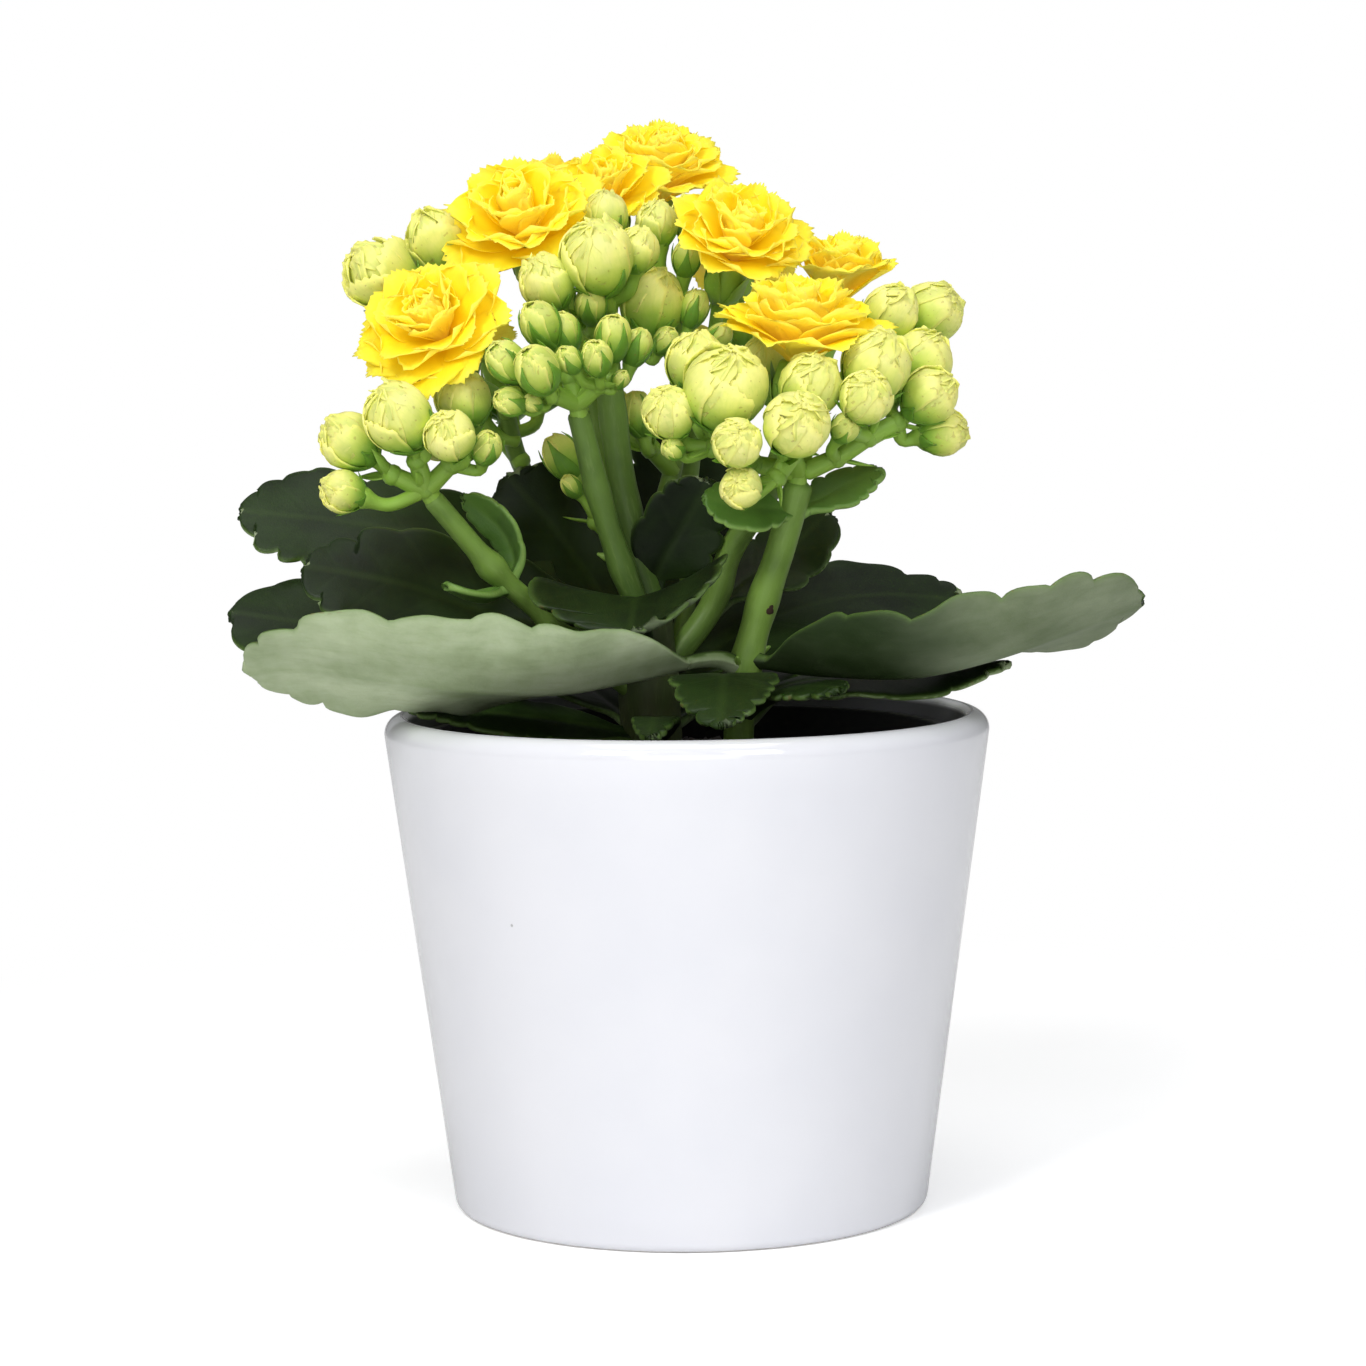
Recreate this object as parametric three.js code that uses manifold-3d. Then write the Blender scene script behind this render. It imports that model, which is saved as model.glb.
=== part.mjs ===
// A double-flowered kalanchoe in its black growing pot, inside a white glazed cover pot.
// Millimetres, +Z up, origin at the centre of the cover pot's flat bottom, front towards -Y.
import * as THREE from 'three';
import { mergeVertices } from 'three/addons/utils/BufferGeometryUtils.js';
import Module from 'manifold-3d';

const wasm = await Module();
wasm.setup();

// ---- driving dimensions ----
const POT_HEIGHT = 65.3;
const POT_RIM_RADIUS = 40;
const POT_BASE_RADIUS = 31.2;
const POT_WALL = 3.6;
const POT_FLOOR = 3.2;
const POT_BASE_FILLET = 1.4;
const POT_FLOOR_CHAMFER = 1.5;
const LIP_OUTER_RADIUS = 2.4;
const LIP_INNER_RADIUS = 1.2;
const GAP = 0.3;

const NURSERY_RIM_Z = 62.8;
const NURSERY_RIM_RADIUS = 34.3;
const NURSERY_BASE_RADIUS = 25.6;
const NURSERY_WALL = 0.8;
const NURSERY_FLANGE = 0.9;
const NURSERY_FLANGE_HEIGHT = 2.5;
const DRAIN_HOLES = 6;
const DRAIN_HOLE_RADIUS = 2.5;
const DRAIN_CIRCLE_RADIUS = 16;
const DRAIN_PLUG_HEIGHT = 4;

const PEAT_EDGE_Z = 57.6;
const PEAT_CENTRE_Z = 59;
const PEAT_SHOULDER_RADIUS = 18;
const PEAT_SHOULDER_Z = 58.5;

const BRANCH_RADIUS = 1.05;
const BRANCH_OVERRUN = 0.3;
const PEDICEL_RADIUS = 0.75;
const BUD_STRETCH = 1.06;
const BUD_FOOT = 0.8;
const PEDICEL_BEND = 0.35;
const PEDICEL_RISE = 0.4;

const LEAF_THICKNESS = 1.5;
const LEAF_EDGE_THINNING = 0.45;
const LEAF_SKEW = 1.25;
const LEAF_FULLNESS = 0.7;
const LEAF_STALK_SHARE = 0.14;
const PETIOLE_HALF_WIDTH = 1.4;
const LEAF_TIP_HALF_WIDTH = 0.8;
const LARGE_LEAF_HALF_WIDTH = 6;

const STALK_RADIUS = 0.95;
const FLOWER_FULL_RADIUS = 9.8;
const FLOWER_DEPTH = 14;
const FLOWER_SEAT = 1;
// Radius and height of calyx, tube, petal rim and petal dome of a full-size flower.
const FLOWER_PROFILE = [[0, -FLOWER_DEPTH], [1.7, -FLOWER_DEPTH], [2.9, -10.5], [3.1, -6.5], [7.4, -3.2],
  [FLOWER_FULL_RADIUS, 0], [8.4, 1.6], [4.2, 3.4], [0, 3.9]];

// ---- fineness of the round forms ----
const POT_SIDES = 30;
const NURSERY_SIDES = 20;
const DRAIN_SIDES = 8;
const STEM_SIDES = 7;
const STEM_STEP = 7;
const BRANCH_SIDES = 4;
const BRANCH_STEP = 8;
const STALK_STEP = 4;
const BUD_SIDES = 6;
const BUD_RINGS = 3;
const LARGE_LEAF_STEPS = 8;
const SMALL_LEAF_STEPS = 5;
const FLOWER_SIDES = 10;

// ---- materials ----
const GLAZE = { color: 0xf3f3f6, roughness: 0.12, metalness: 0 };
const BLACK_PLASTIC = { color: 0x17181a, roughness: 0.5, metalness: 0 };
const PEAT = { color: 0x241a14, roughness: 1, metalness: 0 };
const OLD_STEM = { color: 0x3d5a25, roughness: 0.6, metalness: 0 };
const STEM_GREEN = { color: 0x5f8a3a, roughness: 0.5, metalness: 0 };
const LEAF_GREEN = { color: 0x263f1c, roughness: 0.4, metalness: 0 };
const BRACT_GREEN = { color: 0x5e8f35, roughness: 0.5, metalness: 0 };
const BUD_GREEN = { color: 0xd3dc74, roughness: 0.5, metalness: 0 };
const PETAL_YELLOW = { color: 0xffd21e, roughness: 0.5, metalness: 0 };

// ---- stems: radius and the points of the middle line, from the carrying end up ----
const STEMS = {
  crown_stem: { radius: 3.6, line: [[-4, 1, 44], [-4.5, 0.5, 58], [-5, -0.3, 70], [-5.2, -0.6, 77.2]] },
  stem_right_front: {
    radius: 1.9,
    line: [[6.4, -7, 48], [7.2, -8, 69], [9.7, -9, 79.4], [12.2, -10.5, 86.9], [14.5, -12.3, 95]],
  },
  stem_right_back: {
    radius: 1.6,
    on: 'crown_stem',
    line: [[-4.8, 0, 69], [-0.5, 1, 73.6], [3.5, 2, 79], [5.9, 1.2, 86], [10.5, -1, 93.6], [14.3, -3, 103]],
  },
  stem_centre_front: {
    radius: 1.55,
    on: 'crown_stem',
    line: [[-5.8, -2.6, 76], [-6.4, -3.2, 79.5], [-8.2, -4, 84.4], [-10.9, -6, 93.4], [-13.4, -9, 104.3]],
  },
  stem_centre_back: {
    radius: 1.8,
    on: 'crown_stem',
    line: [[-4.2, 1.7, 76], [-4.6, 2, 80], [-6.2, 2, 85.1], [-8.4, 2, 97], [-10, 2, 111]],
  },
  stem_left_front: {
    radius: 1.4,
    on: 'crown_stem',
    line: [[-5, -1, 66.5], [-12.5, -2.8, 73], [-19, -4.8, 79], [-23.5, -6.8, 83.2], [-32, -12, 93.8]],
  },
  stem_thin_middle: {
    radius: 0.95,
    on: 'stem_centre_back',
    line: [[-5.4, 2, 82], [-8, 6.5, 86.5], [-10.6, 8.5, 93.5], [-11.3, 9.3, 101], [-12.5, 9.5, 108]],
  },
  stem_back_left: {
    radius: 1.3,
    on: 'crown_stem',
    line: [[-4.8, 0.4, 65.8], [-10.5, 11, 72.2], [-13, 18.5, 79.4], [-19.5, 22.8, 92], [-22.4, 21, 97.5],
      [-24.6, 14.5, 108]],
  },
  stem_back_middle: {
    radius: 1.3,
    on: 'crown_stem',
    line: [[-4.8, 0, 70.2], [-4.6, 6.8, 77], [-3.8, 12.5, 88], [-1.1, 13.8, 98.5], [-0.5, 13, 106]],
  },
  stem_back_right: {
    radius: 1.2,
    on: 'crown_stem',
    line: [[-4.8, 0, 67.4], [-0.8, 7.2, 74.6], [0.6, 14.5, 84], [0.6, 17.5, 93], [2, 17.5, 106]],
  },
};

// ---- leaves ----
// rib: middle line from inside the carrying stem to the tip; half: greatest half width;
// stalk: share of the rib that is leaf stalk;
// twist: roll about the rib at base and tip, degrees, positive lifts the left margin;
// left, right: how far each half folds up, degrees, at base and tip; up: upper side.
const LEAVES = {
  leaf_left_front: {
    on: 'stem_right_front', half: 11.8, twist: [14, 44], left: [56, 4], right: [40, 0],
    rib: [[7.3, -8, 71.5], [3.8, -10.5, 73.2], [-5.9, -16, 71.8], [-16, -20, 70.4], [-26, -21.5, 70.8],
      [-38.5, -21, 72.3], [-49, -19, 73.4], [-55.8, -17.5, 72.8]],
  },
  leaf_right_front: {
    on: 'stem_right_front', half: 11, twist: [-16, -36], left: [66, 6], right: [56, 4],
    rib: [[8.3, -8.4, 74.5], [13, -11, 74.4], [18.4, -14, 73.2], [29, -17.5, 72.1], [39.5, -17, 74],
      [48.8, -15.5, 76.9], [58.2, -13, 79.8]],
  },
  leaf_right_low: {
    on: 'stem_right_front', half: 8.4, twist: [6, 6], left: [2, 0], right: [-4, -4],
    rib: [[7.2, -7.5, 64.6], [12, -4.6, 68.2], [20, -5, 69.6], [30, -7.2, 69.8], [41.5, -9.2, 71.8]],
  },
  leaf_left_back: {
    on: 'crown_stem', stalk: 0.3, half: 11.8, twist: [-24, -40], left: [6, 4], right: [8, 4],
    rib: [[-5.6, 0.6, 71], [-10, 4.6, 74.6], [-14.8, 9.4, 79.2], [-26, 14.8, 85.2], [-42, 17, 88.8],
      [-60, 16, 91.2]],
  },
  leaf_left_middle: {
    on: 'crown_stem', half: 11.4, twist: [-4, -34], left: [8, 4], right: [8, 4],
    rib: [[-5, 0.4, 69.6], [-13, 1.8, 71], [-25, 2, 72.4], [-40, 2, 75.2], [-60, 2.5, 78.4]],
  },
  leaf_left_upper: {
    on: 'crown_stem', stalk: 0.18, half: 11, twist: [-52, -42], left: [18, -2], right: [8, 4],
    rib: [[-5, 0.2, 73.6], [-12, 0.8, 75.6], [-24, -0.4, 77.8], [-38, -0.8, 82.4], [-50, -1, 84.6]],
  },
  leaf_centre_front: {
    on: 'crown_stem', stalk: 0.4, half: 13.4, twist: [4, 4], left: [32, 36], right: [8, 4],
    rib: [[-5, -1.5, 72], [-5.6, -5.8, 75.8], [-6, -7.2, 79.6], [-6.3, -10, 80.6], [-6.6, -14, 79.4], [-7, -18.8, 77]],
  },
  leaf_centre_upright: {
    on: 'stem_centre_back', half: 6, twist: [0, 0], left: [8, 8], right: [8, 8], up: [0.2, -1, 0.2],
    rib: [[-4.6, 2, 80.4], [-3.2, 1, 84.5], [0, -0.2, 90], [3.2, -1.9, 95.7]],
  },
  leaf_right_back: {
    on: 'crown_stem', half: 11, twist: [14, 30], left: [8, 4], right: [6, 2],
    rib: [[-4.8, 0, 65.2], [4, 7.4, 72.4], [14, 12.5, 77], [26, 16, 78.8], [38.5, 20, 77.6]],
  },
  leaf_right_back_upper: {
    on: 'stem_right_back', half: 7.4, twist: [20, 34], left: [10, 4], right: [10, 4],
    rib: [[3.2, 1.9, 78.4], [8, 6.6, 81.8], [14, 9.5, 85.5], [19.5, 11, 90.5]],
  },
  leaf_front_small: {
    on: 'stem_right_front', stalk: 0.2, half: 7.6, twist: [0, 0], left: [4, 0], right: [4, 0],
    rib: [[7, -7.8, 66.4], [5, -12, 70.2], [4.7, -20, 71.3], [4.4, -28, 69.6], [4.2, -34.4, 66.8]],
  },
  leaf_front_right_small: {
    on: 'stem_right_front', half: 5, twist: [6, 10], left: [4, 2], right: [4, 2],
    rib: [[7.2, -8, 65.8], [11, -12, 68.3], [14.6, -18, 69.6], [19, -24.4, 70]],
  },
  leaf_rim_left: {
    on: 'crown_stem', half: 5, twist: [-4, -8], left: [6, 4], right: [6, 4],
    rib: [[-4.6, 0, 61.6], [-15, -4.5, 64], [-25, -7.6, 65.6], [-36.4, -9, 67.2]],
  },
  leaf_rim_front: {
    on: 'crown_stem', half: 3.2, twist: [0, 0], left: [10, 6], right: [10, 6],
    rib: [[-4.2, 0, 60.4], [-3.6, -14, 65], [-4.2, -25, 66.3], [-4.5, -32.6, 65]],
  },
  leaf_back_left_upright: {
    on: 'crown_stem', stalk: 0.3, half: 7.3, twist: [0, 0], left: [8, 6], right: [8, 6], up: [0.3, -1, 0.4],
    rib: [[-4.9, 0.3, 68.8], [-8.2, 8.8, 75], [-9.6, 14.4, 81], [-12.7, 17.6, 88], [-19.6, 19, 96]],
  },
  leaf_back_centre: {
    on: 'crown_stem', half: 10, twist: [0, 0], left: [8, 6], right: [8, 6], up: [0, -1, 0.4],
    rib: [[-4.6, 0.2, 63.6], [-3, 10.6, 68.8], [-0.8, 21.8, 78.5], [0, 26.8, 91], [1, 28.2, 105]],
  },
  leaf_back_left_low: {
    on: 'crown_stem', half: 12, twist: [0, -6], left: [12, 4], right: [12, 4],
    rib: [[-4.6, 0.2, 61.8], [-14, 12, 67.6], [-26, 25, 72.2], [-37, 36, 72.2]],
  },
  leaf_back_right: {
    on: 'crown_stem', half: 12, twist: [0, 6], left: [12, 4], right: [12, 4],
    rib: [[-4.6, 0.2, 62], [6, 12, 67.4], [17, 25, 71.6], [28, 37, 71.2]],
  },
  bract_left_large: {
    on: 'stem_left_front', half: 3.4, twist: [0, 0], left: [26, 20], right: [26, 20], up: [-0.8, -1, 0.3],
    rib: [[-23.3, -6.8, 82.6], [-22, -4.4, 85.6], [-23.8, -3.4, 89.8], [-28.6, -4, 94]],
  },
  bract_left_small: {
    on: 'stem_left_front', half: 2.2, twist: [0, 0], left: [20, 10], right: [20, 10],
    rib: [[-23.3, -6.8, 82.6], [-25.8, -9.8, 81.4], [-28, -11.6, 81.8], [-30.6, -13, 83]],
  },
  bract_right_inner: {
    on: 'stem_right_front', half: 4.4, twist: [-48, -52], left: [14, 6], right: [14, 6],
    rib: [[13.7, -11.7, 91.8], [10, -15, 92.4], [6, -17, 93], [2.6, -18, 94]],
  },
  bract_right_outer: {
    on: 'stem_right_front', half: 4.2, twist: [26, 30], left: [12, 6], right: [12, 6],
    rib: [[13.7, -11.7, 91.8], [17.4, -9.6, 93.2], [21.4, -7.6, 95], [25.4, -6.8, 96.8]],
  },
};

// ---- bud cymes ----
// forks: branching points, the first inside what carries the cyme, each with its parent's number;
// buds: centre, radius and the number of the fork that the stalk leaves.
const CYMES = {
  buds_left_front: {
    on: 'stem_left_front',
    forks: [[-31.2, -11.5, 92.8], [-33, -12.4, 95.2, 0], [-37.2, -13.4, 97.2, 1], [-34, -14, 99, 1],
      [-29.8, -13.2, 98.4, 1]],
    buds: [[-42.5, -14, 101.5, 3.2, 2], [-43.3, -16, 95.2, 2.4, 1], [-36, -18, 104.5, 3.7, 3],
      [-28.1, -12, 106.6, 3.1, 4], [-29.4, -20, 102.2, 2.8, 4], [-25, -16, 100.6, 1.9, 4]],
  },
  buds_left_back: {
    on: 'stem_back_left',
    forks: [[-24.5, 15, 106.6], [-26.4, 10.6, 112.4, 0], [-30, 6, 117, 1]],
    buds: [[-32, 3.6, 126.4, 3.3, 2], [-38.8, -0.4, 122.2, 3.7, 2]],
  },
  buds_centre_front: {
    on: 'stem_centre_front',
    forks: [[-13.2, -8.8, 103.2], [-13.6, -9.8, 106, 0], [-17, -13, 107.4, 1], [-10.8, -12, 108.4, 1],
      [-14.6, -11.2, 109.6, 1]],
    buds: [[-18, -14, 116, 2.5, 4], [-15.1, -12, 115, 2.1, 4], [-22.2, -17.6, 111.4, 2.4, 2],
      [-18.3, -20, 110.4, 2.8, 2], [-14.4, -18, 111.6, 1.6, 3], [-10.9, -17, 111.8, 2, 3],
      [-8.9, -13, 114.3, 2.3, 3], [-5.9, -10, 113.1, 1.9, 3], [-21.9, -18, 106.4, 1.8, 2],
      [-19.1, -17, 106.2, 1.2, 2], [-8, -14, 109, 1.1, 3]],
  },
  buds_top_left: {
    on: 'stem_centre_back',
    forks: [[-9.9, 2, 109.6], [-10.2, 1.4, 113.4, 0], [-12.6, -2, 116.4, 1], [-9.4, -0.6, 119, 1]],
    buds: [[-10.9, -8, 124.5, 4, 3], [-17.4, -8, 121.4, 3, 2], [-11.8, -6, 118.6, 2.1, 2],
      [-10, 0.4, 130, 2.6, 3], [-5.8, -4, 125.5, 2.5, 3]],
  },
  buds_top_middle: {
    on: 'buds_top_left',
    forks: [[-10.2, 1.4, 113.2], [-5.8, 1.6, 113, 0], [-1.2, 1.4, 113, 1]],
    buds: [[-4, 2, 118.6, 3.7, 1], [1.5, 1, 118, 1.9, 2], [-2.3, -2.4, 113.8, 1.6, 1],
      [4.6, 0, 114.2, 1.6, 2]],
  },
  buds_top_right: {
    on: 'stem_back_middle',
    forks: [[-0.5, 13.2, 104.6], [-0.7, 12, 110, 0], [-1, 9.4, 117.4, 1]],
    buds: [[-3.3, 3.4, 129, 2.4, 2], [0.6, 3, 124.6, 1.9, 2], [1.3, 7, 130, 2.4, 2]],
  },
  buds_right_middle: {
    on: 'stem_right_front',
    forks: [[14.4, -12.2, 94], [14.5, -12.9, 97.2, 0], [13.6, -18, 99.4, 1], [11.6, -19, 96.6, 2]],
    buds: [[13.9, -27, 103.4, 3.6, 2], [15.8, -21, 108, 3.4, 2], [7, -26, 95.6, 2.3, 3]],
  },
  buds_right_front: {
    on: 'buds_right_middle',
    forks: [[13.4, -13, 97.2], [8.8, -15.2, 98.2, 0], [3.6, -18, 100.4, 1]],
    buds: [[1.7, -15.6, 110.8, 3.4, 2], [5.1, -22, 107.9, 4.6, 2], [-1.8, -22.4, 104.9, 2.9, 2],
      [6.5, -28, 101.2, 2.7, 1], [-1.4, -22, 100.4, 1.4, 2]],
  },
  buds_right_far: {
    on: 'buds_right_middle',
    forks: [[15.7, -12.9, 97.2], [19.4, -13.4, 98.8, 0], [23.4, -14.4, 101.4, 1], [27.2, -13, 103.2, 2]],
    buds: [[24.3, -18, 110.4, 3.8, 2], [22.7, -24, 106.6, 2.9, 2], [20.2, -21.6, 102.8, 1.8, 1],
      [30.3, -9.6, 110.8, 3.5, 3], [31.2, -14.4, 106.6, 3.1, 3], [33, -11.6, 101.8, 2.7, 3]],
  },
  buds_right_back: {
    on: 'stem_right_back',
    forks: [[14.1, -2.8, 101.8], [15.6, -3.4, 105.4, 0], [23, -3.6, 109.8, 1]],
    buds: [[26.6, -7.4, 117, 3.1, 2], [32, -3, 117, 3.5, 2], [10.2, -6, 111.2, 2.4, 1]],
  },
  buds_back_low: {
    on: 'stem_centre_back',
    forks: [[-6.2, 2, 85.1], [-11.6, 4, 90.2, 0]],
    buds: [[-15.9, 5, 98.6, 2.5, 1], [-14.8, 1.6, 94.9, 1.3, 1]],
  },
  buds_inner: {
    on: 'stem_back_middle',
    forks: [[-1.6, 13.6, 96.4], [-4.4, 10.8, 99.4, 0]],
    buds: [[-6, 7.4, 104.2, 2.3, 1], [-9, 12.6, 105, 2.1, 1]],
  },
  buds_back_left: {
    on: 'stem_back_left',
    forks: [[-22, 20, 97.5], [-25, 23.4, 101, 0]],
    buds: [[-30, 27, 103.4, 3, 1], [-24.6, 30, 106.4, 3.2, 1], [-19.6, 26.6, 107.6, 2.8, 1],
      [-33.4, 22, 100.4, 2.3, 1]],
  },
  buds_back_right: {
    on: 'stem_back_right',
    forks: [[1.9, 17.5, 104.6], [3.4, 19, 108, 0], [8.4, 21.4, 108.8, 1]],
    buds: [[8, 27.4, 114.4, 3.4, 2], [14, 23, 113, 3.2, 2], [1.6, 27, 112.4, 3, 1], [15.6, 27, 107.4, 2.6, 2],
      [9, 30, 107.8, 2.6, 2]],
  },
};

// ---- flowers: centre of the petal rim, axis that the flower faces, radius, points of its stalk ----
const FLOWERS = {
  flower_left_front: {
    on: 'stem_back_left', centre: [-32.2, -11.4, 116.8], axis: [-0.32, -0.8, 0.5], radius: 9.6,
    stalk: [[-24.4, 8, 106.6], [-24, 17, 104]],
  },
  flower_left_top: {
    on: 'stem_thin_middle', centre: [-21, 0, 130.3], axis: [-0.18, -0.64, 0.74], radius: 9.4,
    stalk: [[-15.6, 9.4, 113], [-12.3, 9.5, 106.8]],
  },
  flower_top_middle: {
    on: 'buds_top_right', centre: [-8.6, 8, 135.3], axis: [-0.15, -0.6, 0.78], radius: 6.4,
    stalk: [[-5.4, 13.4, 119], [-0.8, 11.4, 112]],
  },
  flower_top_back: {
    on: 'buds_top_right', centre: [-2.5, 22, 138.2], axis: [0.15, 0.15, 0.98], radius: 8.8,
    stalk: [[-3, 18.6, 116], [-0.7, 12.2, 109.2]],
  },
  flower_right_top: {
    on: 'buds_top_right', centre: [7.8, -2, 128.3], axis: [0.25, -0.6, 0.76], radius: 8.8,
    stalk: [[3.6, 8.6, 113], [-0.6, 12.6, 107.4]],
  },
  flower_right_far: {
    on: 'stem_right_back', centre: [22.8, 12, 124], axis: [0.3, 0.05, 0.95], radius: 7,
    stalk: [[17.6, 7, 106.6], [13.8, -2.5, 101.4]],
  },
  flower_right_front: {
    on: 'buds_right_middle', centre: [15.4, -14, 119], axis: [0.08, -0.25, 0.96], radius: 9.8,
    stalk: [[14.4, -11, 101.6], [14.5, -12, 98.4]],
  },
  flower_back_top: {
    on: 'stem_thin_middle', centre: [-18.5, 19, 134], axis: [-0.2, 0.3, 0.93], radius: 8,
    stalk: [[-13.2, 13.4, 113], [-12, 9.4, 104.8]],
  },
  flower_back_left: {
    on: 'stem_back_left', centre: [-32, 22, 113.5], axis: [-0.35, 0.55, 0.75], radius: 8,
    stalk: [[-25.4, 17.6, 101.4], [-22.7, 18.5, 100.4]],
  },
  flower_back_right: {
    on: 'buds_back_right', centre: [8, 25, 126.5], axis: [0.15, 0.7, 0.7], radius: 8,
    stalk: [[5.4, 16, 112.6], [3.4, 18.8, 108.2]],
  },
};

// ---- small helpers ----
const vec = (p) => new THREE.Vector3(p[0], p[1], p[2]);
const radians = THREE.MathUtils.degToRad;
const mix = THREE.MathUtils.lerp;
const plant = new THREE.Group();

function toSolid(geometry) {
  const bare = geometry.clone();
  bare.deleteAttribute('normal');
  bare.deleteAttribute('uv');
  const merged = mergeVertices(bare);
  const index = merged.index.array;
  const kept = [];
  for (let i = 0; i < index.length; i += 3) {
    const [a, b, c] = [index[i], index[i + 1], index[i + 2]];
    if (a !== b && b !== c && c !== a) kept.push(a, b, c);
  }
  const vertProperties = new Float32Array(merged.attributes.position.array);
  const triVerts = new Uint32Array(kept);
  return new wasm.Manifold(new wasm.Mesh({ numProp: 3, vertProperties, triVerts }));
}

function toGeometry(solid) {
  const mesh = solid.getMesh();
  const geometry = new THREE.BufferGeometry();
  geometry.setAttribute('position', new THREE.BufferAttribute(new Float32Array(mesh.vertProperties), 3));
  geometry.setIndex(new THREE.BufferAttribute(new Uint32Array(mesh.triVerts), 1));
  return geometry;
}

// A cut can leave crumbs thinner than a hair; the piece itself is the largest body.
function largestBody(solid) {
  return solid.decompose().reduce((best, body) => (body.volume() > best.volume() ? body : best));
}

function add(name, solid, look) {
  const mesh = new THREE.Mesh(toGeometry(largestBody(solid)), new THREE.MeshStandardMaterial(look));
  mesh.name = name;
  plant.add(mesh);
}

function lathe(points, sides) {
  const profile = points.map(([r, z]) => new THREE.Vector2(r, z));
  return new THREE.LatheGeometry(profile, sides).rotateX(Math.PI / 2);
}

// A round tube along a smooth line; grow widens it and lengthens both its ends.
function tube(points, radius, sides, stepLength, grow) {
  const line = points.map(vec);
  if (grow > 0) {
    const last = line.length - 1;
    line[last].addScaledVector(line[last].clone().sub(line[last - 1]).normalize(), grow);
    line[0].addScaledVector(line[0].clone().sub(line[1]).normalize(), grow);
  }
  const path = new THREE.CatmullRomCurve3(line, false, 'centripetal');
  const ring = new THREE.EllipseCurve(0, 0, radius + grow, radius + grow).getPoints(sides);
  const steps = Math.max(1, Math.round(path.getLength() / stepLength));
  const options = { steps, extrudePath: path, bevelEnabled: false };
  return toSolid(new THREE.ExtrudeGeometry(new THREE.Shape(ring), options));
}

function stemSolid(name, grow) {
  const stem = STEMS[name];
  return tube(stem.line, stem.radius, STEM_SIDES, STEM_STEP, grow);
}

// ---- bud cymes ----
function budSolid(bud, forks, grow) {
  const [x, y, z, radius, fork] = bud;
  const from = vec(forks[fork]);
  const centre = new THREE.Vector3(x, y, z);
  const reach = centre.distanceTo(from);
  const axis = centre.clone().sub(from).add(new THREE.Vector3(0, 0, PEDICEL_RISE * reach)).normalize();
  const foot = centre.clone().addScaledVector(axis, -BUD_FOOT * radius);
  const bend = foot.clone().addScaledVector(axis, -PEDICEL_BEND * reach);
  const turn = new THREE.Quaternion().setFromUnitVectors(new THREE.Vector3(0, 1, 0), axis);
  const globe = new THREE.SphereGeometry(radius + grow, BUD_SIDES, BUD_RINGS);
  globe.scale(1, BUD_STRETCH, 1).applyQuaternion(turn).translate(x, y, z);
  const line = [from.toArray(), bend.toArray(), foot.toArray()];
  return tube(line, PEDICEL_RADIUS, BRANCH_SIDES, BRANCH_STEP, grow).add(toSolid(globe));
}

function cymeSolid(name, grow) {
  const { forks, buds } = CYMES[name];
  const pieces = buds.map((bud) => budSolid(bud, forks, grow));
  for (const fork of forks.slice(1)) {
    const line = [forks[fork[3]].slice(0, 3), fork.slice(0, 3)];
    pieces.push(tube(line, BRANCH_RADIUS, BRANCH_SIDES, BRANCH_STEP, grow + BRANCH_OVERRUN));
  }
  return pieces.reduce((whole, piece) => whole.add(piece));
}

function carrierSolid(name, grow) {
  return name in STEMS ? stemSolid(name, grow) : cymeSolid(name, grow);
}

// ---- leaves ----
// Half width along the rib: a narrow stalk, then a blade that is widest past its middle.
function halfWidth(u, half, stalk) {
  const s = THREE.MathUtils.clamp((u - stalk) / (1 - stalk), 0, 1);
  const blade = half * Math.sin(Math.PI * s ** LEAF_SKEW) ** LEAF_FULLNESS;
  return Math.max(blade, mix(Math.min(PETIOLE_HALF_WIDTH, half / 3), LEAF_TIP_HALF_WIDTH, u));
}

function leafSolid({ rib, half, twist, left, right, stalk = LEAF_STALK_SHARE, up = [0, 0, 1] }) {
  const path = new THREE.CatmullRomCurve3(rib.map(vec), false, 'centripetal');
  const steps = half > LARGE_LEAF_HALF_WIDTH ? LARGE_LEAF_STEPS : SMALL_LEAF_STEPS;
  const blank = new THREE.BoxGeometry(1, 2, 1, steps, 2, 1);
  const corner = blank.attributes.position;
  for (let i = 0; i < corner.count; i += 1) {
    const u = corner.getX(i) + 0.5;
    const across = corner.getY(i);
    const side = corner.getZ(i) * 2;
    const along = path.getTangentAt(u);
    const width = halfWidth(u, half, stalk);
    const roll = radians(mix(twist[0], twist[1], u));
    const fold = across > 0 ? left : right;
    const lift = radians(mix(fold[0], fold[1], u));
    const above = vec(up).addScaledVector(along, -vec(up).dot(along)).normalize();
    const beside = above.clone().cross(along);
    above.applyAxisAngle(along, roll);
    beside.applyAxisAngle(along, roll);
    const out = Math.abs(across) * width;
    const thick = side * LEAF_THICKNESS * (1 - LEAF_EDGE_THINNING * Math.abs(across)) / 2;
    const place = path.getPointAt(u);
    place.addScaledVector(beside, Math.sign(across) * (out * Math.cos(lift) - thick * Math.sin(lift)));
    place.addScaledVector(above, out * Math.sin(lift) + thick * Math.cos(lift));
    corner.setXYZ(i, place.x, place.y, place.z);
  }
  return toSolid(blank);
}

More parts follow.
